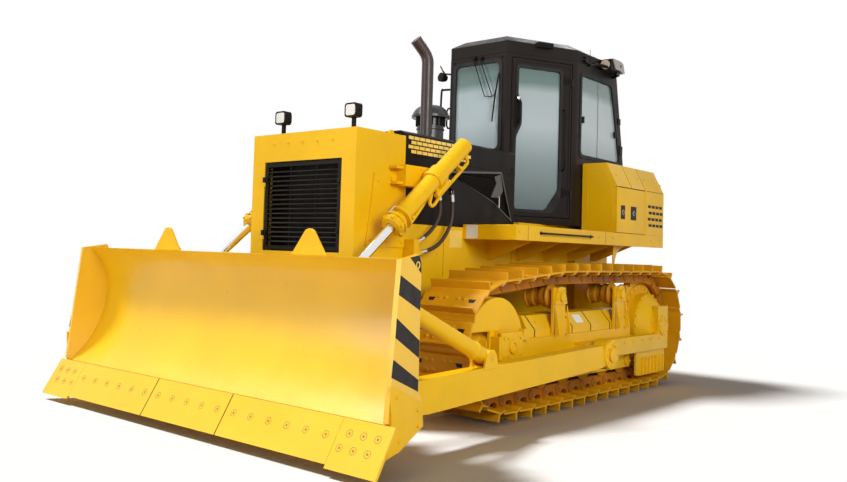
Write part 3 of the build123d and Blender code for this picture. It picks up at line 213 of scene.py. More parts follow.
# black: the hazard stripes' own paint, and painted shade in place of the track shoes' holes
stripes_and_hole_shade = painted("hazard_black_and_hole_shade", (0.012, 0.008, 0.008), rough=0.5, coat=0.0, spread=0.2, spec=0.2)
cab_paint = painted("cab_enamel", (0.012, 0.008, 0.006), rough=0.44, coat=0.0, spread=0.15, edge_wear_and_highlight=0.4,
                    worn_and_highlit_colour=(0.09, 0.07, 0.05), spec=0.15)
grey_paint = painted("grey_enamel", (0.30, 0.29, 0.27), rough=0.4, spread=0.08)
white_plate = painted("white_plate", (0.78, 0.78, 0.76), rough=0.35, spread=0.04)
rubber = painted("rubber", (0.014, 0.013, 0.013), rough=0.62, coat=0.0, spread=0.2, peel=0.2, spec=0.25)
hose_wrap = painted("hose_cover", (0.045, 0.027, 0.018), rough=0.5, coat=0.0, spread=0.25, peel=0.2,
                    spec=0.35)
plastic = painted("grained_plastic", (0.03, 0.03, 0.03), rough=0.55, coat=0.0, spread=0.15, peel=0.3)
fabric = painted("seat_cloth", (0.035, 0.036, 0.04), rough=0.85, coat=0.0, spread=0.25, peel=0.6)
track_pin = painted("track_pin_end", (0.20, 0.085, 0.012), rough=0.5, coat=0.0, spread=0.2)
# dark red-brown: painted shade of the undercarriage on the track's links and bushes
links_painted_shade = painted("links_with_painted_shade", (0.42, 0.150, 0.006), rough=0.55, coat=0.0, spread=0.25, peel=0.16,
                     spec=0.2)
# deep orange: painted shade of the undercarriage on the rollers
rollers_painted_shade = painted("rollers_with_painted_shade", (0.55, 0.235, 0.005), rough=0.5, coat=0.03, spread=0.18, peel=0.12,
                       spec=0.25)
chrome = metal("ground_chrome", (0.82, 0.82, 0.80), 0.14)
steel = metal("zinc_steel", (0.55, 0.52, 0.47), 0.35)
core_metal = painted("radiator_fins", (0.012, 0.011, 0.010), rough=0.6, coat=0.0, spread=0.2, spec=0.2)
pane = glass("cab_pane")
edge_bolt = painted("edge_bolt_head", (0.30, 0.185, 0.012), rough=0.5, coat=0.0, spread=0.2)
# pale yellow: the own colour of the hood's bricks and the skirt's plate, and painted light on the wings'
# lifting eyes
pale_yellow = painted("pale_yellow_and_painted_glint", (0.90, 0.62, 0.10), rough=0.35, spread=0.08)
seam = painted("open_joint", (0.030, 0.018, 0.006), rough=0.8, coat=0.0, spread=0.3, spec=0.1)
stack_paint = painted("stack_enamel", (0.034, 0.018, 0.015), rough=0.38, coat=0.1, spread=0.25, spec=0.4)
bowl_paint = painted("bowl_enamel", (0.018, 0.016, 0.015), rough=0.30, coat=0.12, spread=0.2, spec=0.4)
soot = painted("soot", (0.006, 0.006, 0.006), rough=0.9, coat=0.0, spread=0.3, spec=0.1)
lamp_face = painted("lamp_glass", (0.72, 0.72, 0.70), rough=0.08, coat=1.0, spread=0.12)
amber = painted("work_lamp_glass", (0.55, 0.42, 0.30), rough=0.10, coat=0.8, spread=0.4)
tail_red = painted("tail_lens", (0.36, 0.012, 0.010), rough=0.12, coat=0.8, spread=0.1)


# ---------------------------------------------------------------- building pieces
def frame_of(normal):
    """Rotation that takes +Z to the normal."""
    return Vector((0, 0, 1)).rotation_difference(Vector(normal).normalized()).to_matrix().to_4x4()


def ordered(a, b):
    """Low and high corner of the box between two points."""
    return tuple(map(min, a, b)), tuple(map(max, a, b))


def both_ways(half):
    """Profile that is the same on both sides of its middle."""
    return [(-along, radius) for along, radius in reversed(half)] + list(half)


def circle(radius, count, start=0.0):
    """Points round the origin; start is a share of the step between them."""
    turns = (2 * math.pi * (k + start) / count for k in range(count))
    return [(radius * math.cos(turn), radius * math.sin(turn)) for turn in turns]


def bezier(a, b, c, steps):
    """Points from a to c on the curve that b draws to itself."""
    return [(1 - t) ** 2 * a + 2 * t * (1 - t) * b + t ** 2 * c
            for t in (k / steps for k in range(steps + 1))]


def on_x(x, y0, y1, z0, z1):
    """Corners of an upright rectangle that looks to the side."""
    return [(x, y0, z0), (x, y1, z0), (x, y1, z1), (x, y0, z1)]


SIDES = (("left", 1), ("right", -1))
ACROSS_X, UP = (1, 0, 0), (0, 0, 1)
SHARP = math.radians(35)      # edges that turn more are rounded and shade as edges


class Piece:
    """One visible piece: solids are gathered in a mesh, then bevelled and set on a body."""

    def __init__(self, name, body, slot="yellow_paint"):
        self.name, self.body, self.slot = name, body, slot
        self.mesh = bmesh.new()
        self.materials = []

    def paint(self, faces, material):
        """Give the faces their material."""
        if material not in self.materials:
            self.materials.append(material)
        index = self.materials.index(material)
        for face in faces:
            face.material_index = index

    def hull(self, low, high, material):
        """Solid between two loops of as many points."""
        bottom, top = ([self.mesh.verts.new(p) for p in loop] for loop in (low, high))
        faces = [self.mesh.faces.new(bottom), self.mesh.faces.new(list(reversed(top)))]
        for k in range(len(bottom)):
            faces.append(self.mesh.faces.new((bottom[k - 1], top[k - 1], top[k], bottom[k])))
        self.paint(faces, material)
        return self

    def prism(self, outline, axis, one, other, material):
        """Outline in the plane across the axis (y,z / x,z / x,y), between two stations given in any order."""
        at = "xyz".index(axis)
        low, high = ([(*p[:at], station, *p[at:]) for p in map(tuple, outline)]
                     for station in sorted((one, other)))
        return self.hull(low, high, material)

    def box(self, one, other, material):
        """Block between two opposite corners."""
        (x0, y0, z0), (x1, y1, z1) = ordered(one, other)
        return self.prism([(x0, y0), (x1, y0), (x1, y1), (x0, y1)], "z", z0, z1, material)

    def lathe(self, profile, origin, axis, material, steps=40, capped=True):
        """Profile of (along, radius) turned about the axis; capped fills its open ends."""
        turn = Matrix.Translation(Vector(origin)) @ frame_of(axis)
        rings = []
        for along, radius in profile:
            spots = circle(radius, steps) if radius > 1e-6 else [(0, 0)]
            rings.append([self.mesh.verts.new(turn @ Vector((*spot, along))) for spot in spots])
        faces = []
        for first, second in zip(rings, rings[1:]):
            if len(first) == 1 and len(second) == 1:
                continue
            for k in range(steps):
                a, b = first[k % len(first)], first[(k + 1) % len(first)]
                c, d = second[(k + 1) % len(second)], second[k % len(second)]
                corners = [v for n, v in enumerate((a, b, c, d)) if v not in (a, b, c, d)[:n]]
                if len(corners) > 2:
                    faces.append(self.mesh.faces.new(corners))
        for ring, flip in ((rings[0], True), (rings[-1], False)):
            if capped and len(ring) > 1:
                faces.append(self.mesh.faces.new(list(reversed(ring)) if flip else ring))
        self.paint(faces, material)
        return self

    def rod(self, start, end, radius, material, steps=24, end_radius=None):
        """Round bar between two points."""
        span = Vector(end) - Vector(start)
        return self.lathe([(0, radius), (span.length, end_radius or radius)], start, span, material, steps)

    def bolt_circle(self, centre, sign, radius, count, size, material, start=0.0):
        """Bolts that look to the side, on a circle."""
        for a, b in circle(radius, count, start):
            self.bolt(Vector(centre) + Vector((0, a, b)), (sign, 0, 0), size, material)
        return self

    def bolt(self, at, normal, radius, material, washer=True):
        """Hexagon head on a washer, its foot a little inside the surface."""
        turn = Vector(normal).normalized()
        if washer:
            self.lathe([(-0.002, radius * 1.25), (radius * 0.15, radius * 1.25)], at, turn, material, 16)
        top = radius * (0.75 if washer else 0.6)
        self.lathe([(-0.002, radius), (top - radius * 0.12, radius), (top, radius * 0.86)], at, turn,
                   material, 6)
        return self

    def tube(self, points, radius, material, steps=12):
        """Round bar along points, with mitred turns."""
        points = [Vector(p) for p in points]
        rings, side = [], None
        for k, point in enumerate(points):
            before = points[max(k - 1, 0)]
            after = points[min(k + 1, len(points) - 1)]
            way = (after - before).normalized()
            if side is None:
                side = way.orthogonal().normalized()
            side = (side - way * side.dot(way)).normalized()
            other = way.cross(side)
            rings.append([point + a * side + b * other for a, b in circle(radius, steps)])
        return self.skin(rings, material)

    def skin(self, rings, material):
        """Closed surface over rings of as many points."""
        rings = [[self.mesh.verts.new(p) for p in ring] for ring in rings]
        count = len(rings[0])
        faces = []
        for first, second in zip(rings, rings[1:]):
            for n in range(count):
                after = (n + 1) % count
                faces.append(self.mesh.faces.new((first[n], first[after], second[after], second[n])))
        faces.append(self.mesh.faces.new(list(reversed(rings[0]))))
        faces.append(self.mesh.faces.new(rings[-1]))
        self.paint(faces, material)
        return self

    def patch(self, corners, normal, thick, material):
        """Thin plate on a flat face, standing proud along the normal, its foot inside the face."""
        lift = Vector(normal).normalized() * thick
        base = [self.mesh.verts.new(Vector(c) - lift * 0.5) for c in corners]
        top = [self.mesh.verts.new(Vector(c) + lift) for c in corners]
        faces = [self.mesh.faces.new(list(reversed(base))), self.mesh.faces.new(top)]
        for k in range(len(corners)):
            faces.append(self.mesh.faces.new((base[k - 1], base[k], top[k], top[k - 1])))
        self.paint(faces, material)
        return self

    def copy(self, node, material):
        """The CAD node's own faces, welded and cleaned, so that their edges can be rounded."""
        form = bmesh.new()
        form.from_mesh(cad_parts[node].data)
        bmesh.ops.remove_doubles(form, verts=form.verts, dist=2e-5)
        bmesh.ops.dissolve_limit(form, angle_limit=math.radians(0.6), verts=form.verts, edges=form.edges)
        holder = bpy.data.meshes.new("holder")
        form.to_mesh(holder)
        form.free()
        count = len(self.mesh.faces)
        self.mesh.from_mesh(holder)
        bpy.data.meshes.remove(holder)
        self.mesh.faces.ensure_lookup_table()
        self.paint(self.mesh.faces[count:], material)
        return self

    def done(self, bevel=0.0, steps=2, replaces=()):
        """Mesh object with rounded edges, riding on its body."""
        bmesh.ops.recalc_face_normals(self.mesh, faces=self.mesh.faces)
        data = bpy.data.meshes.new(self.name)
        self.mesh.to_mesh(data)
        self.mesh.free()
        for material in self.materials:
            data.materials.append(material)
        obj = bpy.data.objects.new(self.name, data)
        bpy.context.scene.collection.objects.link(obj)
        for face in data.polygons:
            face.use_smooth = True
        data.set_sharp_from_angle(angle=SHARP)
        if bevel:
            cut = obj.modifiers.new("round", "BEVEL")
            cut.width = bevel
            cut.segments = steps
            cut.limit_method = "ANGLE"
            cut.angle_limit = SHARP
            cut.use_clamp_overlap = True
            smooth = obj.modifiers.new("normals", "WEIGHTED_NORMAL")
            smooth.keep_sharp = False
            smooth.weight = 60
        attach(obj, self.body)
        if replaces:
            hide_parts(*replaces)
        return obj


def dress(node, material, body="chassis", slot="yellow_paint", bevel=0.003, name=None):
    """The CAD node's form with rounded edges and its finish."""
    return Piece(name or node + "_skin", body, slot).copy(node, material).done(bevel, replaces=(node,))


def finish_node(node, material):
    """The CAD node as it is, with its finish."""
    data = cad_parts[node].data
    data.materials.clear()
    data.materials.append(material)


# ---------------------------------------------------------------- camera, then the hoses
CAMERA_AT = (4.3693, -5.8546, 1.1737)
CAMERA_TURN = (40.7313, -2.3691, 1.7664)      # degrees: round from ahead, up, and rolled


def camera():
    """The photograph's camera, as solved from the machine's own sizes."""
    azimuth, elevation, roll = (math.radians(v) for v in CAMERA_TURN)
    back = Vector((math.sin(azimuth) * math.cos(elevation), -math.cos(azimuth) * math.cos(elevation),
                   math.sin(elevation)))
    flat = Vector((0, 0, 1)).cross(back).normalized()
    upward = back.cross(flat)
    right = math.cos(roll) * flat + math.sin(roll) * upward
    up = -math.sin(roll) * flat + math.cos(roll) * upward
    data = bpy.data.cameras.new("camera")
    data.sensor_width = 36.0
    data.lens = 35.80
    data.shift_x = 0.0438
    data.shift_y = -0.0296
    data.clip_end = 400
    obj = bpy.data.objects.new("camera", data)
    turn = Matrix((right, up, back)).transposed().to_4x4()
    obj.matrix_world = Matrix.Translation(CAMERA_AT) @ turn
    bpy.context.scene.collection.objects.link(obj)
    bpy.context.scene.camera = obj


HOSE_X, HOSE_R = 0.600, 0.014
# length, then (y, z) of each hose from its port on the skirt to the bracket on the hood
HOSE_ROUTES = {
    "hose_short": (0.479, ((-1.107, 1.251), (-0.987, 1.312), (-0.884, 1.415), (-0.862, 1.515),
                           (-0.893, 1.612))),
    "hose_long": (0.657, ((-1.081, 1.169), (-0.913, 1.201), (-0.776, 1.311), (-0.702, 1.459),
                          (-0.728, 1.612))),
}


def build_hose(name, side, sign, route):
    """Free hose with its crimped ends, from the port to the bracket."""
    points = [Vector((sign * HOSE_X, y, z)) for y, z in route]
    data = bpy.data.curves.new(f"{name}_line_{side}", "CURVE")
    data.dimensions = "3D"
    data.bevel_depth = HOSE_R
    data.bevel_resolution = 6
    data.resolution_u = 16
    line = data.splines.new("NURBS")
    line.points.add(len(points) - 1)
    for knot, point in zip(line.points, points):
        knot.co = (*point, 1)
    line.order_u = 3
    line.use_endpoint_u = True
    data.materials.append(hose_wrap)
    obj = bpy.data.objects.new(f"{name}_line_{side}", data)
    bpy.context.scene.collection.objects.link(obj)
    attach(obj, "chassis")
    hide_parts(f"{name}_{side}")
    # crimped ends
    ends = Piece(f"{name}_crimps_{side}", "chassis", "chrome")
    for at, beyond in ((points[0], points[1]), (points[-1], points[-2])):
        way = (beyond - at).normalized()
        ends.lathe([(-0.012, 0.019), (-0.002, 0.019), (0.000, 0.0175), (0.052, 0.0175), (0.056, 0.0155),
                    (0.056, 0.0142)], at, way, steel, 24)
        ends.lathe([(-0.030, 0.020), (-0.012, 0.020)], at, way, steel, 6)
    crimps = ends.done(0.0008, 1)


camera()
for side, sign in SIDES:
    for name, (length, route) in HOSE_ROUTES.items():
        build_hose(name, side, sign, route)


# ---------------------------------------------------------------- tracks
GAUGE_HALF = 0.940
SHOES = 39
# (y, z, radius of the pins' line) of what the track runs round
IDLER = (-0.848, 0.529, 0.400)
FRONT_ROLLER = (-0.460, 0.274, 0.1553)
SPROCKET = (1.787, 0.5596, 0.4406)
CARRIERS = ((1.085, 0.858, 0.142), (0.030, 0.858, 0.142))
ROLLER_YS, ROLLER_Z = (-0.46, -0.12, 0.22, 0.56, 0.90, 1.24), 0.2743
TEETH = 27
# radius of the sprocket's outline at shares of the way from a gap to the next
TOOTH = ((0.06, 0.403), (0.20, 0.4085), (0.34, 0.432), (0.44, 0.4585), (0.56, 0.4585), (0.66, 0.432),
         (0.80, 0.4085), (0.94, 0.403))


def belt_spans(circles):
    """Straight and arc spans of the pin line round circles (y, z, r)."""
    angles = []
    for (ya, za, ra), (yb, zb, rb) in zip(circles, circles[1:] + circles[:1]):
        apart = math.hypot(yb - ya, zb - za)
        angles.append(math.atan2(zb - za, yb - ya) - math.pi / 2 + math.asin((ra - rb) / apart))
    spans = []
    for k, (y, z, r) in enumerate(circles):
        turn = (angles[k] - angles[k - 1] + math.pi / 2) % (2 * math.pi) - math.pi / 2
        spans.append((r * turn, "arc", y, z, r, angles[k - 1]))
        yb, zb, rb = circles[(k + 1) % len(circles)]
        c, s = math.cos(angles[k]), math.sin(angles[k])
        spans.append((math.hypot(yb + rb * c - y - r * c, zb + rb * s - z - r * s), "line", y + r * c,
                      z + r * s, yb + rb * c, zb + rb * s))
    return spans


def pin_points():
    """The track's pins, evenly round the belt."""
    spans = belt_spans([IDLER, FRONT_ROLLER, SPROCKET, *CARRIERS])
    pitch = sum(span[0] for span in spans) / SHOES
    points = []
    for k in range(SHOES):
        s = k * pitch
        for span in spans:
            if s <= span[0]:
                break
            s -= span[0]
        if span[1] == "arc":
            _, _, y, z, r, start = span
            points.append((y + r * math.cos(start + s / r), z + r * math.sin(start + s / r)))
        else:
            _, _, y0, z0, y1, z1 = span
            points.append((y0 + (y1 - y0) * s / span[0], z0 + (z1 - z0) * s / span[0]))
    return points


# (along, out of the pins' line) of a shoe with its grouser, and of a link
PLATE_SHAPE = [(-0.094, 0.052), (-0.088, 0.047), (-0.074, 0.050), (0.076, 0.050), (0.098, 0.037),
               (0.128, 0.024), (0.131, 0.031), (0.104, 0.045), (0.088, 0.062), (0.0765, 0.063),
               (0.0725, 0.119), (0.0590, 0.119), (0.0535, 0.063), (-0.088, 0.063)]
LINK_SHAPE = [(-0.100, -0.050), (0.100, -0.050), (0.112, -0.030), (0.112, 0.022), (0.085, 0.050),
              (0.045, 0.050), (0.040, 0.020), (0.010, 0.008), (-0.010, 0.008), (-0.040, 0.020),
              (-0.045, 0.050), (-0.078, 0.050), (-0.086, 0.022), (-0.086, -0.020)]


def build_track(side, sign):
    """Shoes with their bolts, and the links and pins that carry them."""
    shoes = Piece(f"track_shoes_{side}", "chassis")
    links = Piece(f"track_links_{side}", "chassis")
    pins = pin_points()
    middle = sign * GAUGE_HALF
    for (ya, za), (yb, zb) in zip(pins, pins[1:] + pins[:1]):
        length = math.hypot(yb - ya, zb - za)
        ty, tz = (yb - ya) / length, (zb - za) / length
        ny, nz = tz, -ty
        my, mz = (ya + yb) / 2, (za + zb) / 2

        def put(shape):
            return [(my + ty * t + ny * n, mz + tz * t + nz * n) for t, n in shape]

        def at(x, t, n):
            return (x, my + ty * t + ny * n, mz + tz * t + nz * n)

        shoes.prism(put(PLATE_SHAPE), "x", middle - 0.25, middle + 0.25, track_yellow_painted_shade)
        out = (0, ny, nz)
        for x in (-0.105, -0.051, 0.051, 0.105):
            for t in (-0.048, 0.022):
                shoes.bolt(at(middle + x, t, 0.063), out, 0.013, track_yellow_painted_shade)
        # black patches where the shoes' holes are: painted shade, the holes not being cut
        for x in (-0.17, 0.17):
            shoes.patch([at(middle + x + dx, -0.03 + dt, 0.063)
                         for dx, dt in ((-0.03, -0.016), (0.03, -0.016), (0.02, 0.014), (-0.02, 0.014))], out,
                        0.0012, stripes_and_hole_shade)
        for x in (-0.078, 0.078):
            inner = 1 if x > 0 else -1
            links.prism(put(LINK_SHAPE), "x", middle + x - 0.019, middle + x + 0.019, links_painted_shade)
            links.rod(at(middle + x - inner * 0.016, -length / 2, 0),
                      at(middle + x + inner * 0.030, -length / 2, 0), 0.036, links_painted_shade, 18)
            links.rod(at(middle + x, -length / 2, 0), at(middle + x + inner * 0.033, -length / 2, 0), 0.020,
                      track_pin, 14)
        links.rod(at(middle - 0.07, -length / 2, 0), at(middle + 0.07, -length / 2, 0), 0.031, links_painted_shade, 14)
    shoes.done(0.0025, 1, replaces=(f"track_{side}",))
    links.done(0.002, 1)


def build_rollers(side, sign):
    """Bottom and carrier rollers."""
    rollers = Piece(f"track_rollers_{side}", "chassis")
    middle = sign * GAUGE_HALF
    half = [(0.028, 0.085), (0.036, 0.113), (0.046, 0.113), (0.052, 0.1045), (0.098, 0.1045), (0.104, 0.120),
            (0.110, 0.120), (0.128, 0.088), (0.128, 0.06), (0.150, 0.052), (0.150, 0.03)]
    for y in ROLLER_YS:
        rollers.lathe(both_ways(half), (middle, y, ROLLER_Z), ACROSS_X, rollers_painted_shade, 36)
    for y, z, _ in CARRIERS:
        carrier = [(-0.110, 0.03), (-0.110, 0.085), (-0.098, 0.100), (-0.088, 0.100), (-0.080, 0.087),
                   (-0.03, 0.087), (-0.024, 0.07), (0.024, 0.07), (0.03, 0.087), (0.080, 0.087),
                   (0.088, 0.100), (0.098, 0.100), (0.110, 0.088), (0.124, 0.060), (0.150, 0.052),
                   (0.150, 0.02)]
        rollers.lathe([(a * sign, r) for a, r in carrier], (middle, y, z), ACROSS_X, rollers_painted_shade, 36)
    rollers.done(0.002, 1, replaces=(f"rollers_{side}",))


def build_idler(side, sign):
    """Idler with its rims and hub."""
    wheel = Piece(f"idler_wheel_{side}", "chassis")
    half = [(0.040, 0.3497), (0.048, 0.3497), (0.086, 0.345), (0.086, 0.325), (0.060, 0.31), (0.078, 0.16),
            (0.09, 0.11), (0.150, 0.10), (0.150, 0.05)]
    wheel.lathe(both_ways(half), (sign * GAUGE_HALF, *IDLER[:2]), ACROSS_X, yellow_cast, 64)
    wheel.done(0.003, replaces=(f"idler_{side}",))


def build_final_drive(side, sign):
    """Sprocket with its bolted hub and housing."""
    drive = Piece(f"sprocket_and_hub_{side}", "chassis")
    middle = sign * GAUGE_HALF
    y, z, _ = SPROCKET
    teeth = []
    for k in range(TEETH):
        for turn, radius in TOOTH:
            angle = 2 * math.pi * (k + turn) / TEETH
            teeth.append((y + radius * math.cos(angle), z + radius * math.sin(angle)))
    drive.prism(teeth, "x", middle - 0.033, middle + 0.033, yellow_cast)
    drive.lathe(both_ways([(0.033, 0.372), (0.046, 0.365), (0.046, 0.30)]), (middle, y, z), ACROSS_X,
                yellow_cast, 54)
    drive.bolt_circle((middle + sign * 0.046, y, z), sign, 0.345, TEETH, 0.013, track_yellow_painted_shade, 0.5)
    drive.lathe([(0.0, 0.29), (0.45, 0.29), (0.46, 0.286)], (sign * 0.48, y, z), (sign, 0, 0), yellow, 54)
    drive.lathe([(0.04, 0.286), (0.115, 0.290), (0.128, 0.285), (0.134, 0.272), (0.140, 0.272), (0.215, 0.19),
                 (0.222, 0.165), (0.225, 0.16), (0.225, 0.08), (0.225, 0.0)], (middle, y, z), (sign, 0, 0),
                yellow, 60)
    drive.bolt_circle((middle + sign * 0.134, y, z), sign, 0.280, 20, 0.010, yellow)
    drive.bolt_circle((middle + sign * 0.225, y, z), sign, 0.125, 8, 0.012, yellow, 0.5)
    drive.done(0.002, 1, replaces=(f"final_drive_{side}",))


for side, sign in SIDES:
    build_track(side, sign)
    build_rollers(side, sign)
    build_idler(side, sign)
    build_final_drive(side, sign)


# ---------------------------------------------------------------- track frames
FRAME_OUT = 1.110         # outer face of a track frame
IDLER_CAP_OUT = 1.189     # of the idler's bearing cap
POST_OUT = 1.128          # of the carrier rollers' posts
BEAM_OUT = 1.215          # of the beam that carries the final drive's outer bearing
COVER_SLOPE = (0.868, 0, 0.496)     # out of the recoil cover's outer slope, on the left


def build_frame(side, sign):
    """Track frame, with the bearing caps, lugs and bolts on it."""
    dress(f"track_frame_{side}", yellow, bevel=0.004, name=f"track_frame_welded_{side}")
    trim = Piece(f"track_frame_trim_{side}", "chassis")
    out = (sign, 0, 0)
    # idler's bearing block: cap, bore and bolts
    x = sign * IDLER_CAP_OUT
    cap = Piece(f"idler_cap_{side}", "chassis")
    cap.prism([(-0.903, 0.430), (-0.640, 0.430), (-0.620, 0.450), (-0.620, 0.600), (-0.650, 0.632),
               (-0.903, 0.632)], "x", sign * 1.165, x, yellow)
    cap.done(0.004)
    trim.lathe([(-0.002, 0.052), (0.012, 0.050), (0.014, 0.044), (0.014, 0.030), (0.002, 0.028),
                (0.002, 0.0)], (x, -0.760, 0.530), out, yellow, 32)
    for y in (-0.870, -0.660, -0.815):
        for z in (0.470, 0.592):
            trim.bolt((x, y, z), out, 0.013, yellow)
    for k in range(4):
        trim.bolt((sign * (FRAME_OUT + 0.020 + 0.013 * k), -0.61, 0.47), (0, 1, 0), 0.008, yellow)
    # lugs between the frame's top and the block
    for y0, y1 in ((-0.90, -0.80), (-0.56, -0.47)):
        trim.prism([(y0, 0.560), (y1, 0.560), (y1 - 0.012, 0.640), (y0 + 0.012, 0.640)], "x",
                   sign * 1.09, sign * 1.15, yellow)
    # recoil cover's joints and hand-hole plates
    for y in (-0.30, 0.28, 0.60, 0.95, 1.18):
        ridge = [(0.145, 0.560), (0.145, 0.615), (0.085, 0.720), (-0.085, 0.720), (-0.145, 0.615),
                 (-0.145, 0.560)]
        for (xa, za), (xb, zb) in zip(ridge, ridge[1:]):
            lean = 0.05 if (xa, xb) == (0.145, 0.085) else 0.0
            normal = Vector((sign * (zb - za), 0, xa - xb))
            corners = [(sign * (GAUGE_HALF + xa), y, za), (sign * (GAUGE_HALF + xb), y - lean, zb),
                       (sign * (GAUGE_HALF + xb), y - lean + 0.013, zb),
                       (sign * (GAUGE_HALF + xa), y + 0.013, za)]
            trim.patch(corners, normal, 0.0008, seam)
    slope = (sign * COVER_SLOPE[0], *COVER_SLOPE[1:])
    trim.patch([(sign * (GAUGE_HALF + dx), y, z) for dx, y, z in
                ((0.133, 0.38, 0.637), (0.098, 0.355, 0.700), (0.098, 0.48, 0.700), (0.133, 0.505, 0.637))],
               slope, 0.0012, white_plate)
    for y in (-0.24, 0.22, 0.66, 0.88, 1.02, 1.16):
        trim.bolt((sign * (GAUGE_HALF + 0.115), y, 0.6675), slope, 0.010, yellow)
    # carrier rollers' posts: clamp caps and their bolts
    x = sign * POST_OUT
    for y, z, _ in reversed(CARRIERS):
        trim.prism([(y - 0.095, 0.800), (y - 0.060, 0.915), (y - 0.030, 0.935), (y + 0.030, 0.935),
                    (y + 0.060, 0.915), (y + 0.095, 0.800)], "x", sign * FRAME_OUT, x, yellow)
        trim.lathe([(-0.004, 0.040), (0.018, 0.038), (0.022, 0.030), (0.022, 0.0)], (x, y, z), out, yellow,
                   30)
        for dy in (-0.062, 0.062):
            trim.bolt((x, y + dy, 0.835), out, 0.012, yellow)
            trim.bolt((x, y + dy * 0.75, 0.898), out, 0.011, yellow)
        # webs at the post's foot
        for dy in (-0.095, 0.083):
            web = [(sign * wx, wz) for wx, wz in ((POST_OUT, 0.565), (1.170, 0.565), (1.134, 0.760),
                                                  (POST_OUT, 0.790))]
            trim.prism(web, "y", y + dy, y + dy + 0.012, yellow)
    # bolts along the frame's side and the rollers' shaft ends
    for y in ROLLER_YS:
        trim.lathe([(-0.004, 0.050), (0.014, 0.047), (0.018, 0.038), (0.018, 0.0)],
                   (sign * FRAME_OUT, y, ROLLER_Z), out, yellow_cast, 26)
        for dy in (-0.075, 0.075):
            trim.bolt((sign * FRAME_OUT, y + dy, 0.262), out, 0.011, yellow)
    for k in range(7):
        trim.bolt((sign * BEAM_OUT, 0.62 + 0.18 * k, 0.455), out, 0.011, yellow)
    # bolted cap of the final drive's outer bearing
    trim.lathe([(-0.004, 0.094), (0.010, 0.092), (0.014, 0.086), (0.014, 0.055), (0.008, 0.05), (0.008, 0.0)],
               (sign * BEAM_OUT, *SPROCKET[:2]), out, yellow, 40)
    trim.bolt_circle((sign * (BEAM_OUT + 0.014), *SPROCKET[:2]), sign, 0.072, 8, 0.010, yellow)
    trim.done(0.002, 1)


for side, sign in SIDES:
    build_frame(side, sign)


# ---------------------------------------------------------------- blade
LIFT_X = 0.720            # of the lift cylinders
BLADE_HALF = 1.594        # to the wings' foremost corners
EDGE_HIGH = Vector((0, -2.575, 0.290))
EDGE_LOW = Vector((0, -2.7125, 0.065))
EDGE_OUT = Vector((0, -0.8533, 0.5214))     # out of the cutting edge's face
EDGE_PITCH = 0.1524       # of the cutting edge's bolts
WING_TOE = math.radians(9)
WING_Y = -2.540
# corners (run back along the wing, z) of the stripes on a wing's outer face
HAZARD = (((0.045, 1.050), (0.262, 0.962), (0.262, 0.857), (0.032, 0.949)),
          ((0.018, 0.830), (0.262, 0.698), (0.262, 0.604), (0.010, 0.730)),
          ((-0.003, 0.620), (0.262, 0.488), (0.262, 0.425), (-0.017, 0.530)),
          ((0.139, 1.142), (0.238, 1.156), (0.260, 1.112), (0.261, 1.058)))
CORNER_PLATE = ((-0.030, 0.494), (0.262, 0.378), (0.294, 0.362), (0.308, 0.236), (0.060, 0.142),
                (-0.055, 0.130), (-0.040, 0.180), (-0.020, 0.284))
EDGE_JOINTS = (-0.381, 0.381)


def wing_point(sign, run, z, proud=0.0):
    """Point on a wing's outer face."""
    s, c = math.sin(WING_TOE), math.cos(WING_TOE)
    return Vector((sign * (BLADE_HALF - run * s + proud * c), WING_Y + run * c + proud * s, z))


def wing_out(sign):
    """Out of a wing's outer face."""
    return Vector((sign * math.cos(WING_TOE), math.sin(WING_TOE), 0))


def build_blade():
    """Moldboard and cutting edge with its bolts."""
    dress("blade", blade_yellow, "blade_assembly", bevel=0.004)
    dress("cutting_edge", blade_yellow, "blade_assembly", bevel=0.003)
    bolts = Piece("edge_bolts", "blade_assembly")

    def plow_bolt(x, t):
        """Countersunk bolt, t of the way down the edge."""
        at = EDGE_HIGH.lerp(EDGE_LOW, t) + Vector((x, 0, 0))
        bolts.lathe([(-0.001, 0.0225), (0.0006, 0.0225), (0.0008, 0.0195), (-0.0008, 0.0180), (-0.0008, 0.0)],
                    at, EDGE_OUT, edge_bolt, 18)
        bolts.lathe([(-0.001, 0.0085), (0.0010, 0.0078), (0.0010, 0.0)], at, EDGE_OUT, edge_bolt, 12)

    for k in range(17):
        plow_bolt((k - 8) * EDGE_PITCH, 0.42)
    for sign in (-1, 1):
        for k in range(3):
            for t in (0.30, 0.62):
                plow_bolt(sign * (1.375 + 0.098 * k - (0.03 if t > 0.5 else 0)), t)
    for x in EDGE_JOINTS:
        corners = [(EDGE_HIGH if t < 0.5 else EDGE_LOW) + Vector((x + dx, 0, 0))
                   for dx, t in ((-0.0035, 0), (0.0035, 0), (0.0035, 1), (-0.0035, 1))]
        bolts.patch(corners, EDGE_OUT, 0.0007, seam)
    bolts.done()


def build_wings():
    """Stripes and bolted corner plates of the wings."""
    marks = Piece("hazard_stripes", "blade_assembly")
    trim = Piece("wing_plates", "blade_assembly")
    for sign in (1, -1):
        out = wing_out(sign)
        for band in HAZARD:
            marks.patch([wing_point(sign, run, z) for run, z in band], out, 0.0009, stripes_and_hole_shade)
        corners = [wing_point(sign, run, z, 0.006) for run, z in CORNER_PLATE]
        trim.patch(corners, out, 0.007, yellow)
        for run, z in ((0.02, 0.43), (0.24, 0.335), (0.25, 0.25), (0.05, 0.20)):
            trim.bolt(wing_point(sign, run, z, 0.013), out, 0.012, yellow)
        # lifting eye in the top rear corner, a pale boss without a hole: its pale paint is painted light for
        # the bright hole and its glint
        trim.lathe([(-0.004, 0.019), (0.003, 0.021), (0.004, 0.019), (0.004, 0.016), (-0.001, 0.012),
                    (-0.001, 0.0)], wing_point(sign, 0.222, 1.102), out, pale_yellow, 28)
    marks.done()
    trim.done(0.002)


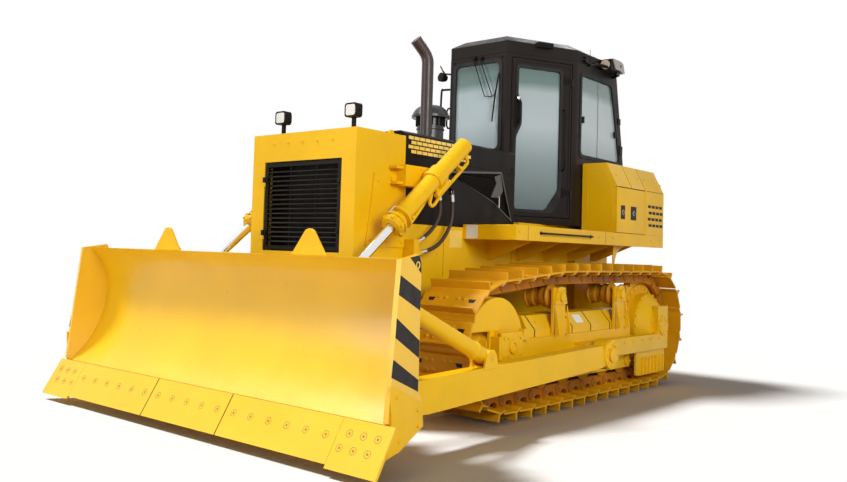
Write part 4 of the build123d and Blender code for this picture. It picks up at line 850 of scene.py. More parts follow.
def build_spill_guards():
    """Pointed plates over the lift rods, each on two ribs."""
    spill = Piece("spill_guards", "blade_assembly")
    for sign in (1, -1):
        middle = sign * LIFT_X
        outline = [(-0.150, 1.132), (0.150, 1.132), (0.052, 1.268), (0.040, 1.284), (0.020, 1.293),
                   (-0.004, 1.294), (-0.026, 1.288), (-0.040, 1.272)]
        spill.prism([(middle + x, z) for x, z in outline], "y", -2.328, -2.310, yellow)
        for dx in (-0.05, 0.05):
            spill.prism([(-2.310, 1.134), (-2.235, 1.134), (-2.310, 1.225)], "x", middle + dx - 0.006,
                        middle + dx + 0.006, yellow)
    spill.done(0.004, replaces=("spill_plates",))


build_blade()
build_wings()
build_spill_guards()


# ---------------------------------------------------------------- push arms and braces
ARM_X = 1.325
ARM_FACE = 1.380
PIVOT = (0.382, 0.410)
BRACE_LOW = (-1.318, 0.515)
BRACE_HIGH = (-2.190, 0.875)


def build_arm(side, sign):
    """Push arm with its trunnion's cap and weld beads."""
    dress(f"push_arm_{side}", yellow, "blade_assembly", bevel=0.008, name=f"push_arm_welded_{side}")
    trim = Piece(f"push_arm_cap_{side}", "blade_assembly")
    out = (sign, 0, 0)
    x = sign * ARM_FACE
    trim.lathe([(-0.004, 0.118), (0.010, 0.116), (0.014, 0.110), (0.014, 0.078), (0.004, 0.074),
                (0.004, 0.058)], (x, *PIVOT), out, yellow, 44)
    trim.bolt_circle((x + sign * 0.014, *PIVOT), sign, 0.094, 10, 0.010, yellow)
    # weld beads where the box section's plates meet
    for low, high in (((-1.97, 0.4406), (0.14, 0.4840)), ((-1.97, 0.2396), (0.18, 0.3150))):
        trim.tube([(x - sign * 0.002, *low), (x - sign * 0.002, *high)], 0.0035, yellow, 6)
    trim.done(0.0012, 1)


def build_brace(side, sign):
    """Brace from the arm to the blade, with its ends, pins and lower ears."""
    brace = Piece(f"brace_tube_{side}", "blade_assembly")
    low, high = Vector((sign * ARM_X, *BRACE_LOW)), Vector((sign * ARM_X, *BRACE_HIGH))
    way = high - low
    length = way.length
    brace.lathe([(0.0, 0.045), (0.045, 0.0515), (0.108, 0.0515), (0.116, 0.0575), (0.148, 0.0575),
                 (0.156, 0.0515), (length - 0.060, 0.0515), (length - 0.050, 0.040)], low, way, yellow, 36)
    for end in (low, high):
        brace.lathe(both_ways([(0.035, 0.051), (0.040, 0.046), (0.040, 0.020)]), end, ACROSS_X, yellow, 36)
        brace.lathe(both_ways([(0.063, 0.024), (0.063, 0.0)]), end, ACROSS_X, yellow_cast, 24)
    brace.done(0.002, 1, replaces=(f"brace_{side}",))
    ears = Piece(f"brace_ears_{side}", "blade_assembly")
    for dx in (-0.0525, 0.0525):
        outline = [(-1.400, 0.440), (-1.236, 0.444), (-1.262, 0.530), (-1.290, 0.562), (-1.346, 0.562),
                   (-1.374, 0.530)]
        ears.prism(outline, "x", sign * ARM_X + dx - 0.009, sign * ARM_X + dx + 0.009, yellow)
    ears.done(0.003)


for side, sign in SIDES:
    build_arm(side, sign)
    build_brace(side, sign)


# ---------------------------------------------------------------- lift cylinders
TRUNNION = Vector((0, -1.090, 1.708))
ROD_EYE = (-2.085, 0.925)
DOWN = Vector((0, -0.7859, -0.6184))       # from the trunnion to the rod's eye
ACROSS = Vector((0, -0.6184, 0.7859))      # square to it, upwards
# the two pipes of a barrel, as (along, off, aside) of on_barrel
PIPE_RUNS = (((-0.400, -0.085), (-0.395, -0.118), (-0.350, -0.130), (-0.10, -0.132), (0.04, -0.134),
              (0.12, -0.140, 0.01), (0.175, -0.128, 0.02), (0.180, -0.098, 0.015), (0.130, -0.085),
              (0.060, -0.082, -0.03)),
             ((0.555, -0.085), (0.545, -0.116, -0.01), (0.490, -0.122, -0.02), (0.30, -0.112, -0.03),
              (0.16, -0.104, -0.045), (0.06, -0.100, -0.060)))


def on_barrel(sign, along, off, aside=0.0):
    """Point by a barrel: along it from its trunnion, off it upwards, aside out of the machine's middle."""
    return Vector((sign * (LIFT_X + aside), 0, 0)) + TRUNNION + DOWN * along + ACROSS * off


def smooth_path(points, closeness=6):
    """Points on a rounded curve through the given ones."""
    points = [Vector(p) for p in points]
    padded = [points[0] * 2 - points[1]] + points + [points[-1] * 2 - points[-2]]
    path = []
    for a, b, c, d in zip(padded, padded[1:], padded[2:], padded[3:]):
        for k in range(closeness):
            t = k / closeness
            path.append(0.5 * ((2 * b) + (c - a) * t + (2 * a - 5 * b + 4 * c - d) * t * t
                               + (3 * b - a - 3 * c + d) * t ** 3))
    path.append(points[-1])
    return path


def build_cylinder(side, sign):
    """Lift cylinder's barrel and the pipes along it."""
    def at(along, off=0.0, aside=0.0):
        return on_barrel(sign, along, off, aside)

    def round_it(along, radius, count, start=0.0):
        """Points on a circle round the barrel."""
        return [at(along) + Vector(ACROSS_X) * a + ACROSS * b for a, b in circle(radius, count, start)]

    body = f"lift_barrel_{side}"
    barrel = Piece(f"cylinder_barrel_{side}", body)
    barrel.lathe([(0.0, 0.0), (0.0, 0.052), (0.008, 0.062), (0.385, 0.062), (0.385, 0.074), (0.390, 0.076),
                  (0.490, 0.076), (0.495, 0.074), (0.495, 0.062), (0.985, 0.062), (0.985, 0.080),
                  (0.990, 0.083), (1.004, 0.083), (1.004, 0.081), (1.007, 0.081), (1.007, 0.083),
                  (1.028, 0.083), (1.034, 0.076), (1.046, 0.070), (1.050, 0.060), (1.050, 0.035),
                  (1.030, 0.035)], at(-0.440), DOWN, yellow, 48, capped=False)
    barrel.rod((sign * 0.528, TRUNNION.y, TRUNNION.z), (sign * 0.664, TRUNNION.y, TRUNNION.z), 0.032, yellow,
               28)
    # trunnion sleeve between the bracket and the barrel
    barrel.lathe([(0.0, 0.046), (0.004, 0.050), (0.032, 0.052)], (sign * 0.632, TRUNNION.y, TRUNNION.z),
                 (sign, 0, 0), yellow, 32)
    for spot in round_it(0.587, 0.0725, 8, 0.5):
        barrel.bolt(spot, DOWN, 0.0075, yellow, False)
    # clamp bands and the split collar's bolts
    for along in (-0.040, 0.040):
        for aside in (-0.070, 0.070):
            barrel.bolt(at(along, 0.030, aside), (aside, 0, 0), 0.009, yellow)
    for along in (-0.21, 0.20):
        barrel.lathe([(-0.011, 0.0605), (-0.008, 0.0655), (0.008, 0.0655), (0.011, 0.0605)],
                     at(along), DOWN, yellow, 40, capped=False)
    # gland flange with its cap screws, and the lugs that hold the pipes
    for ends in zip(round_it(0.536, 0.080, 6), round_it(0.600, 0.080, 6)):
        barrel.rod(*ends, 0.0105, yellow, 12)
    for along in (0.500, 0.560):
        barrel.lathe([(-0.015, 0.0605), (-0.012, 0.094), (0.004, 0.094), (0.007, 0.0605)],
                     at(along), DOWN, yellow, 44, capped=False)
    for off, aside in ((-0.088, 0.030), (-0.088, -0.030), (0.090, 0.0)):
        barrel.rod(at(0.488, off, aside), at(0.572, off, aside), 0.008, steel, 10)
    for along in (-0.060, 0.060):
        barrel.rod(at(along, -0.050, 0.020), at(along, -0.112, 0.020), 0.016, yellow, 8)
    barrel.rod(at(-0.095, -0.098, 0.020), at(0.095, -0.098, 0.020), 0.020, yellow, 8)
    # ports
    barrel.rod(at(-0.400, -0.055), at(-0.400, -0.098), 0.020, yellow, 20)
    barrel.rod(at(0.555, -0.050), at(0.555, -0.100), 0.020, yellow, 20)
    barrel.done(0.0015, 1, replaces=(body,))

    pipes = Piece(f"cylinder_pipes_{side}", body)
    for run in PIPE_RUNS:
        pipes.tube(smooth_path([at(*spot) for spot in run]), 0.0125, yellow, 12)
    for along, off, aside in ((-0.28, -0.130, 0), (0.02, -0.133, 0), (0.36, -0.114, -0.027)):
        pipes.rod(at(along - 0.014, off + 0.02, aside), at(along + 0.014, off + 0.02, aside), 0.0215, yellow,
                  16)
        pipes.rod(at(along, off + 0.01, aside), at(along, -0.058, aside * 0.6), 0.009, yellow, 10)
    for along, off, aside in ((0.060, -0.082, -0.03), (0.06, -0.100, -0.060)):
        pipes.rod(at(along + 0.014, off, aside), at(along - 0.020, off, aside), 0.020, steel, 6)
    block, half = at(0.02, -0.095, -0.045), Vector((0.022,) * 3)
    pipes.box(block - half, block + half, yellow)
    pipes.done(0.001, 1)


def build_rod(side, sign):
    """Lift cylinder's rod with its piston and eye, and the pin in the blade."""
    rod = Piece(f"cylinder_rod_{side}", f"lift_rod_{side}", "chrome")
    eye = Vector((sign * LIFT_X, *ROD_EYE))
    rod_end = eye - DOWN * 0.990
    rod.lathe([(0.0, 0.0), (0.0, 0.032), (0.004, 0.0322), (0.925, 0.0322)], rod_end, DOWN, chrome, 40)
    rod.lathe([(-0.056, 0.0), (-0.056, 0.0440), (-0.004, 0.0440), (-0.004, 0.0)], rod_end, DOWN, steel, 40)
    rod.lathe([(0.0, 0.0325), (0.002, 0.041), (0.018, 0.044)], eye - DOWN * 0.068, DOWN, yellow, 32)
    rod.lathe(both_ways([(0.038, 0.055), (0.044, 0.050), (0.044, 0.030)]), eye, ACROSS_X, yellow, 40)
    rod.done(0.001, 1, replaces=(f"lift_rod_{side}",))
    pin = Piece(f"lift_pin_{side}", "blade_assembly")
    pin.lathe(both_ways([(0.076, 0.0285), (0.078, 0.040), (0.088, 0.040), (0.088, 0.0)]), eye, ACROSS_X,
              steel, 30)
    pin.done(0.001, 1)


for side, sign in SIDES:
    build_cylinder(side, sign)
    build_rod(side, sign)


# ---------------------------------------------------------------- radiator guard, grille and lamps
GUARD_FRONT = -1.723
GUARD_SIDE = 0.524
GRILLE_FACE = -1.718
GRILLE_X = 0.387
GRILLE_Z = (1.158, 1.792)
GRILLE_HINGE = (-0.391, -1.727)
LAMP_FOOT = 2.004
LAMP = (0.361, -1.578, 2.147)


def build_guard():
    """Radiator guard with its bolts, lifting eyes and trunnion caps."""
    dress("radiator_guard", yellow, bevel=0.005, name="radiator_guard_welded")
    trim = Piece("guard_trim", "chassis")
    for k in range(5):
        trim.bolt((-0.30 + 0.15 * k, GUARD_FRONT, 1.935), (0, -1, 0), 0.010, yellow)
    for sign in (1, -1):
        for y, z in ((-1.50, 1.66), (-1.36, 1.68), (-1.24, 1.70), (-1.56, 1.24), (-1.40, 1.24),
                     (-1.24, 1.24)):
            trim.bolt((sign * (GUARD_SIDE + 0.012), y, z), (sign, 0, 0), 0.012, yellow)
        for z in (0.80, 0.90, 1.02):
            trim.bolt((sign * GUARD_SIDE, -1.62, z), (sign, 0, 0), 0.012, yellow)
        # lifting eye on the top
        trim.prism([(-1.30, 2.004), (-1.30, 2.020), (-1.285, 2.045), (-1.255, 2.045), (-1.240, 2.020),
                    (-1.240, 2.004)], "x", sign * 0.44 - 0.010, sign * 0.44 + 0.010, yellow)
        # trunnion bracket: cap over the pin
        trim.lathe([(-0.002, 0.062), (0.036, 0.060), (0.042, 0.054), (0.042, 0.034)],
                   (sign * 0.586, TRUNNION.y, TRUNNION.z), (sign, 0, 0), yellow, 36)
        for dz in (-0.060, 0.060):
            for dy in (-0.045, 0.045):
                trim.bolt((sign * 0.625, TRUNNION.y + dy, TRUNNION.z + dz), (sign, 0, 0), 0.011, yellow)
    trim.done(0.0015, 1)


def build_grille():
    """Hinged grille: frame, slats, two stiffeners, hinges and latches."""
    door = Piece("grille_welded", "grille_door", "black_paint")
    x0, x1, (z0, z1) = -GRILLE_X, GRILLE_X, GRILLE_Z
    face, back = GRILLE_FACE, GRILLE_FACE + 0.022
    for low, high in (((x0, face, z0), (x1, back, z0 + 0.030)), ((x0, face, z1 - 0.030), (x1, back, z1)),
                      ((x0, face, z0 + 0.028), (x0 + 0.030, back, z1 - 0.028)),
                      ((x1 - 0.030, face, z0 + 0.028), (x1, back, z1 - 0.028))):
        door.box(low, high, black)
    for k in range(1, 17):
        z = z0 + 0.030 + (z1 - z0 - 0.060) * k / 17
        door.prism([(face + 0.002, z - 0.005), (face + 0.006, z - 0.0105), (face + 0.024, z + 0.004),
                    (face + 0.020, z + 0.010)], "x", x0 + 0.029, x1 - 0.029, black)
    for x in (-0.1317, 0.1317):
        door.box((x - 0.005, face + 0.018, z0 + 0.02), (x + 0.005, face + 0.028, z1 - 0.02), black)
    for z in (1.280, 1.670):
        door.lathe([(-0.020, 0.0), (-0.020, 0.0118), (0.020, 0.0118), (0.020, 0.0)], (*GRILLE_HINGE, z), UP,
                   black, 24)
        door.box((*GRILLE_HINGE, z - 0.020), (-0.360, face, z + 0.020), black)
    for z in (1.30, 1.64):
        door.lathe([(0.0, 0.016), (0.010, 0.015), (0.012, 0.012), (0.012, 0.0)], (x1 - 0.015, face, z),
                   (0, -1, 0), black, 22)
    door.done(0.0012, 1, replaces=("grille_door",))


def build_head_lamps():
    """Lamps on posts, on the guard's top."""
    lamps = Piece("head_lamps", "chassis", "black_paint")
    glasses = Piece("head_lamp_lenses", "chassis", "glass")
    for sign in (1, -1):
        x, y, z = sign * LAMP[0], *LAMP[1:]
        corners = []
        for cx, cz, start in ((0.036, 0.030, 0), (-0.036, 0.030, 90), (-0.036, -0.030, 180),
                              (0.036, -0.030, 270)):
            for k in range(4):
                angle = math.radians(start + 30 * k)
                corners.append((cx + 0.020 * math.cos(angle), cz + 0.020 * math.sin(angle)))

        def outline(wide, high):
            return [(x + cx * wide, z + cz * high) for cx, cz in corners]

        lamps.prism(outline(1, 1), "y", y - 0.030, y + 0.024, black)
        lamps.prism(outline(0.72, 0.72), "y", y + 0.020, y + 0.041, black)
        lamps.prism(outline(1, 1), "y", y - 0.041, y - 0.029, black)
        glasses.prism(outline(0.80, 0.78), "y", y - 0.0415, y - 0.036, lamp_face)
        lamps.box((x - 0.012, y - 0.012, LAMP_FOOT), (x + 0.012, y + 0.012, z - 0.045), black)
        lamps.box((x - 0.035, y - 0.022, LAMP_FOOT + 0.0005), (x + 0.035, y + 0.022, LAMP_FOOT + 0.008),
                  black)
        lamps.bolt((x, y, z + 0.050), UP, 0.010, black)
        for dx in (-0.058, 0.058):
            lamps.bolt((x + dx * 0.96, y, z), (dx, 0, 0), 0.008, black, False)
    lamps.done(0.003, replaces=("headlamps",))
    glasses.done(0.0015, 1)
    finish_node("radiator_core", core_metal)


# ---------------------------------------------------------------- hood
HOOD_SIDE = 0.505
HOOD_TOP = 2.050
OPENING = ((-0.690, 1.800), (0.090, 1.862), (0.262, 1.450), (-0.033, 1.600))     # (y, z) of the side opening
BRICK_ROWS, BRICKS, BRICK_PITCH, BRICK = 4, 13, 0.066, 0.058
STACK = (0.110, -0.445)
BOWL = (0.0, -0.245)


def crossings(corners, value, along):
    """Where a polygon's edges cross the line on which y (along 0) or z (along 1) has the value."""
    found = []
    for a, b in zip(corners, corners[1:] + corners[:1]):
        if (a[along] - value) * (b[along] - value) < 0:
            t = (value - a[along]) / (b[along] - a[along])
            found.append(a[1 - along] + (b[1 - along] - a[1 - along]) * t)
    return sorted(found)


def build_hood():
    """Hood with its bricks, the mesh in its side openings, seams and bolts."""
    dress("hood", black, slot="black_paint", bevel=0.004, name="hood_panels")
    finish_node("engine_block", black)
    vents = Piece("hood_vents", "chassis")
    mesh = Piece("hood_side_mesh", "chassis", "black_paint")
    for sign in (1, -1):
        out = (sign, 0, 0)
        # rows of pressed yellow bricks along the panel's upper edge
        for row in range(BRICK_ROWS):
            for k in range(BRICKS):
                y, z = -1.145 + BRICK_PITCH * (k + row % 2 / 2), 2.016 - 0.0335 * row
                if y + BRICK < -0.335:
                    vents.patch(on_x(sign * HOOD_SIDE, y, y + BRICK, z - 0.024, z), out, 0.0015, pale_yellow)
        # frame and wires of the big opening; the frame's grey, lighter than the black, is a painted sheen
        middle = [sum(c[k] for c in OPENING) / 4 for k in (0, 1)]
        inner = [(y + (middle[0] - y) * 0.055, z + (middle[1] - z) * 0.10) for y, z in OPENING]
        for k in range(4):
            corners = OPENING[k - 1], OPENING[k], inner[k], inner[k - 1]
            mesh.patch([(sign * (HOOD_SIDE + 0.0005), *p) for p in corners], out, 0.004, hood_frame_painted_sheen)
        depth = sign * (HOOD_SIDE - 0.012)
        for z in (1.450 + 0.0125 * k for k in range(1, 34)):
            spans = crossings(OPENING, z, 1)
            if len(spans) == 2:
                mesh.tube([(depth, y, z) for y in spans], 0.0017, black, 4)
        for y in (-0.690 + 0.014 * k for k in range(1, 70)):
            spans = crossings(OPENING, y, 0)
            if len(spans) == 2:
                mesh.tube([(depth, y, z) for z in spans], 0.0017, black, 4)
        # folded plate, latch and hand grip at the opening's rear; the plate in the grey with painted sheen
        mesh.prism([(-0.010, 1.812), (0.086, 1.842), (0.120, 1.700), (0.062, 1.640), (-0.055, 1.640),
                    (0.020, 1.760)], "x", depth, sign * HOOD_SIDE, hood_frame_painted_sheen)
        mesh.tube([(sign * (HOOD_SIDE + off), 0.030, z) for off, z in
                   ((0.001, 1.655), (0.024, 1.650), (0.024, 1.560), (0.001, 1.555))], 0.006, steel, 10)
        for y, z in ((-1.10, 1.50), (-1.10, 1.78), (-0.75, 1.50), (0.26, 1.90), (0.26, 1.42)):
            mesh.bolt((sign * HOOD_SIDE, y, z), out, 0.010, black)
        # raised lip under the bricks
        mesh.patch([(sign * HOOD_SIDE, y, z) for y, z in ((-1.195, 1.882), (0.295, 1.858), (0.295, 1.866),
                                                          (-1.195, 1.890))], out, 0.005, black)
        for y in (-0.95, -0.25):
            mesh.box((sign * 0.30, y - 0.012, HOOD_TOP - 0.002), (sign * 0.36, y + 0.012, HOOD_TOP + 0.012),
                     black)
    for y in (-0.66, 0.02):
        mesh.patch([(-0.47, y, HOOD_TOP), (0.47, y, HOOD_TOP), (0.47, y + 0.005, HOOD_TOP),
                    (-0.47, y + 0.005, HOOD_TOP)], UP, 0.001, seam)
    vents.done()
    mesh.done()


def build_stack():
    """Exhaust with its bent, open tip."""
    pipe = Piece("exhaust_stack", "chassis", "black_paint")
    low, high, foot, bend = (Vector((*STACK, z)) for z in (2.045, 2.70, 2.719, 2.780))
    tip = Vector((0.068, -0.557, 2.905))
    arm = (tip - bend).normalized()
    pipe.tube([low, high, *bezier(foot, bend, bend + arm * 0.061, 12), tip], 0.0487, stack_paint, 32)
    pipe.lathe([(-0.004, 0.0487), (0.000, 0.0487), (0.000, 0.0435), (-0.14, 0.0435), (-0.14, 0.0)], tip, arm,
               soot, 32)
    pipe.lathe([(0.0, 0.085), (0.006, 0.085), (0.010, 0.080), (0.012, 0.054), (0.030, 0.052), (0.034, 0.049)],
               (*STACK, HOOD_TOP - 0.001), UP, black, 32)
    pipe.done(replaces=("exhaust_pipe",))


def build_precleaner():
    """Air pre-cleaner: bowl with vanes under its cap."""
    bowl = Piece("air_precleaner", "chassis", "black_paint")
    bowl.lathe([(2.048, 0.112), (2.052, 0.130), (2.062, 0.130), (2.066, 0.112), (2.200, 0.112),
                (2.204, 0.120), (2.216, 0.120), (2.220, 0.112), (2.300, 0.112), (2.302, 0.158),
                (2.305, 0.1615), (2.326, 0.1615), (2.329, 0.158), (2.352, 0.148), (2.376, 0.132),
                (2.396, 0.108), (2.410, 0.078), (2.417, 0.040), (2.419, 0.0)], (*BOWL, 0.0), UP, bowl_paint,
               56)
    for a, b in circle(0.119, 16):
        x, y = BOWL[0] + a, BOWL[1] + b
        bowl.box((x - 0.006, y - 0.006, 2.235), (x + 0.006, y + 0.006, 2.298), black)
    bowl.box((0.060, -0.364, 2.100), (0.100, -0.345, 2.150), white_plate)
    bowl.bolt((*BOWL, 2.417), UP, 0.010, steel)
    bowl.done(0.0015, 1, replaces=("precleaner",))


build_guard()
build_grille()
build_head_lamps()
build_hood()
build_stack()
build_precleaner()


# ---------------------------------------------------------------- carried-over nodes
for node in ("main_frame", "rear_case", "equalizer_bar", "cab_mount", "fender_left", "fender_right",
             "fuel_tank", "rear_box_left", "rear_box_right", "drawbar"):
    dress(node, yellow)
for side, sign in SIDES:
    dress(f"box_door_{side}", yellow, f"box_door_{side}")


# ---------------------------------------------------------------- cab
CAB_FRONT, CAB_NOSE, CAB_HALF, CAB_CORNER = 0.430, 0.303, 0.640, 1.130
CAB_BACK, CAB_BACK_TOP, CAB_EAVES, WINDOW_LOW = 2.105, 1.925, 2.970, 2.110
DOOR_RUN = math.hypot(CAB_HALF - CAB_NOSE, CAB_CORNER - CAB_FRONT)
# corners of the windows, (across or back, height)
SCREEN = ((-0.250, 2.100), (0.250, 2.100), (0.250, 2.905), (-0.250, 2.905))
SIDE_WINDOW = ((1.195, 2.110), (2.030, 2.110), (1.825, 2.875), (1.195, 2.875))
# (run along the door from its front edge, height): the window, and the glass, whose lower rear corner is cut
DOOR_WINDOW = ((0.108, 1.575), (0.507, 1.575), (0.590, 1.700), (0.590, 2.860), (0.130, 2.860), (0.126, 2.600),
               (0.168, 2.540), (0.168, 2.340), (0.112, 2.230))
DOOR_GLASS = ((0.108, 1.575), (0.455, 1.575), (0.590, 1.765)) + DOOR_WINDOW[3:]


def rounded(corners, radius):
    """The outline with its corners rounded."""
    points = []
    corners = [Vector(c) for c in corners]
    for before, at, after in zip(corners[-1:] + corners[:-1], corners, corners[1:] + corners[:1]):
        into, out = (before - at), (after - at)
        reach = min(radius, into.length * 0.45, out.length * 0.45)
        first, last = at + into.normalized() * reach, at + out.normalized() * reach
        points += bezier(first, at, last, 5)
    return points


def grown(corners, amount):
    """The outline with each side moved out by the amount."""
    corners = [Vector(c) for c in corners]
    area = sum(a.x * b.y - b.x * a.y for a, b in zip(corners, corners[1:] + corners[:1]))
    turn = 1 if area > 0 else -1
    moved = []
    for before, at, after in zip(corners[-1:] + corners[:-1], corners, corners[1:] + corners[:1]):
        a, b = (at - before).normalized(), (after - at).normalized()
        na, nb = Vector((a.y, -a.x)) * turn, Vector((b.y, -b.x)) * turn
        moved.append(at + (na + nb) * (amount / (1 + na.dot(nb))))
    return moved


def ring(piece, outer, inner, place, low, high, material):
    """Frame between two outlines of as many points; place(u, v, w) gives a point in space."""
    loops = [[piece.mesh.verts.new(place(p.x, p.y, w)) for p in loop] for loop in (outer, inner)
             for w in (low, high)]
    out_low, out_high, in_low, in_high = loops
    faces = []
    for k in range(len(outer)):
        for a, b in ((out_low, out_high), (out_high, in_high), (in_high, in_low), (in_low, out_low)):
            faces.append(piece.mesh.faces.new((a[k - 1], a[k], b[k], b[k - 1])))
    piece.paint(faces, material)


# u runs across or back, v is the height and w the distance out of the face
def on_screen(u, v, w):
    """Place on the windscreen."""
    return Vector((u, CAB_FRONT - w, v))


def on_plate(x, sign):
    """Places on an upright face that looks to the side."""
    return lambda u, v, w: Vector((x + sign * w, u, v))


def on_door(sign):
    """Run along the door facet from its front edge, height, distance out of its face."""
    c, s = (CAB_HALF - CAB_NOSE) / DOOR_RUN, (CAB_CORNER - CAB_FRONT) / DOOR_RUN
    return lambda u, v, w: Vector((sign * (CAB_NOSE + u * c + w * s), CAB_FRONT + u * s - w * c, v))


def on_rear(u, v, w):
    """Place on the sloping rear face."""
    t = (v - WINDOW_LOW) / (CAB_EAVES - WINDOW_LOW)
    return Vector((u, CAB_BACK + (CAB_BACK_TOP - CAB_BACK) * t + w, v))


def gasket(piece, corners, place):
    """Window rubber, with the border that fills the opening's corners."""
    radius, wide = 0.05, 0.020
    ring(piece, rounded(grown(corners, wide), radius + wide), rounded(grown(corners, -0.013), radius), place,
         -0.011, 0.006, rubber)
    ring(piece, rounded(grown(corners, 0.001), 0.002), rounded(grown(corners, -0.008), radius), place,
         -0.0105, -0.004, rubber)


def build_cab_shell():
    """Cab's shell with the windows' rubbers."""
    for node in ("cab_shell", "cab_roof", "cab_floor"):
        dress(node, cab_paint, slot="cab_paint", bevel=0.006)
    trim = Piece("cab_window_rubbers", "chassis", "black_paint")
    gasket(trim, SCREEN, on_screen)
    for sign in (1, -1):
        place = on_plate(sign * CAB_HALF, sign)
        gasket(trim, SIDE_WINDOW, place)
        # sliding pane's meeting rail and catches
        slide = [place(u, v, -0.0113) for u, v in ((1.556, 2.130), (1.564, 2.130), (1.564, 2.857),
                                                   (1.556, 2.857))]
        trim.patch(slide, (sign, 0, 0), 0.004, grey_paint)
        for u, v in ((1.240, 2.45), (1.905, 2.39)):
            trim.box(place(u - 0.012, v - 0.03, -0.004), place(u + 0.012, v + 0.03, 0.012), black)
    gasket(trim, [(-0.500, 2.110), (0.500, 2.110), (0.500, 2.875), (-0.500, 2.875)], on_rear)
    trim.done()


def build_cab_fittings():
    """Wipers, grab rail, work lamps and small fittings."""
    fit = Piece("cab_fittings", "chassis", "black_paint")
    # wipers: two arms to one blade
    for pivot, elbow in (((-0.029, 2.954), (0.098, 2.590)), ((0.045, 2.945), (0.180, 2.582))):
        fit.lathe([(-0.006, 0.022), (0.014, 0.020), (0.022, 0.014), (0.022, 0.0)],
                  (pivot[0], CAB_FRONT, pivot[1]), (0, -1, 0), black, 20)
        fit.tube([(pivot[0], CAB_FRONT - 0.016, pivot[1]),
                  (pivot[0] + 0.01, CAB_FRONT - 0.026, pivot[1] - 0.05),
                  (elbow[0], CAB_FRONT - 0.022, elbow[1])], 0.0045, black, 8)
    fit.tube([(0.098, CAB_FRONT - 0.022, 2.590), (0.180, CAB_FRONT - 0.022, 2.582),
              (0.205, CAB_FRONT - 0.020, 2.600)], 0.0045, black, 8)
    fit.tube([(0.240, CAB_FRONT - 0.012, 2.790), (0.205, CAB_FRONT - 0.013, 2.590),
              (0.177, CAB_FRONT - 0.012, 2.358)], 0.007, rubber, 8)
    fit.tube([(0.232, CAB_FRONT - 0.018, 2.745), (0.205, CAB_FRONT - 0.021, 2.590),
              (0.184, CAB_FRONT - 0.018, 2.415)], 0.004, black, 8)
    # the far side's grab rail, and a lamp on a bracket at the front corner
    fit.tube(smooth_path([(-0.325, 0.452, 2.700), (-0.385, 0.440, 2.700), (-0.408, 0.436, 2.680),
                          (-0.412, 0.436, 2.40), (-0.408, 0.436, 2.120), (-0.385, 0.440, 2.100),
                          (-0.325, 0.452, 2.100)], 4), 0.010, black, 12)
    fit.tube([(-0.300, 0.440, 2.840), (-0.370, 0.432, 2.850), (-0.395, 0.430, 2.880)], 0.008, black, 8)
    fit.lathe([(-0.030, 0.0), (-0.028, 0.030), (0.0, 0.040), (0.036, 0.044), (0.040, 0.040), (0.040, 0.0)],
              (-0.385, 0.430, 2.815), (-0.25, -0.95, 0.1), black, 24)
    fit.tube([(-0.395, 0.430, 2.880), (-0.425, 0.430, 2.930)], 0.006, black, 8)
    for sign in (1, -1):
        # work lamps under the eaves
        place = on_door(sign)
        low = [place(*p) for p in ((0.300, 3.060, 0.0), (0.320, 3.052, 0.034), (0.480, 3.052, 0.034),
                                   (0.500, 3.060, 0.0))]
        high = [place(*p) for p in ((0.300, 3.088, 0.0), (0.320, 3.100, 0.030), (0.480, 3.100, 0.030),
                                    (0.500, 3.088, 0.0))]
        fit.hull(low, high, black)
        # rear work lamps: bracket, hood and lamp
        fit.tube([(sign * 0.628, 1.42, 3.010), (sign * 0.700, 1.50, 3.000), (sign * 0.745, 1.60, 2.990)],
                 0.014, black, 10)
        fit.tube([(sign * 0.628, 1.86, 2.955), (sign * 0.720, 1.80, 2.960), (sign * 0.745, 1.70, 2.970)],
                 0.014, black, 10)
        hood_shape = [(1.560, 3.074), (1.640, 3.079), (1.740, 3.079), (1.800, 3.060), (1.835, 2.972),
                      (1.560, 2.972)]
        fit.prism(hood_shape, "x", sign * 0.640, sign * 0.758, black)
        fit.lathe([(-0.055, 0.0), (-0.050, 0.035), (-0.020, 0.050), (0.012, 0.053), (0.016, 0.050),
                   (0.016, 0.046)], (sign * 0.700, 1.560, 3.020), (sign * 0.25, -0.97, 0.0), black, 28)
        # aerial, cable and its clips beside the rear lamp
        fit.rod((sign * 0.655, 1.33, 2.965), (sign * 0.655, 1.33, 3.128), 0.004, black, 8, 0.002)
        fit.lathe([(-0.004, 0.016), (0.014, 0.014), (0.022, 0.008), (0.022, 0.0)],
                  (sign * 0.655, 1.33, 2.972), UP, black, 16)
        fit.tube(smooth_path([(sign * 0.636, 1.16, 3.000), (sign * 0.662, 1.22, 3.010),
                              (sign * 0.660, 1.34, 2.985), (sign * 0.672, 1.46, 3.005),
                              (sign * 0.700, 1.57, 3.005)], 5), 0.006, rubber, 8)
        fit.box((sign * 0.636, 1.225, 2.985), (sign * 0.668, 1.285, 3.040), black)
        fit.box((sign * 0.636, 1.960, 2.50), (sign * 0.652, 2.010, 2.56), black)
        fit.box((sign * 0.636, 2.000, 2.20), (sign * 0.654, 2.060, 2.29), black)
    for x in (-0.26, 0.26):
        fit.bolt((x, CAB_FRONT, 2.935), (0, -1, 0), 0.009, black)
    fit.done(0.0015, 1, replaces=("roof_lamps",))


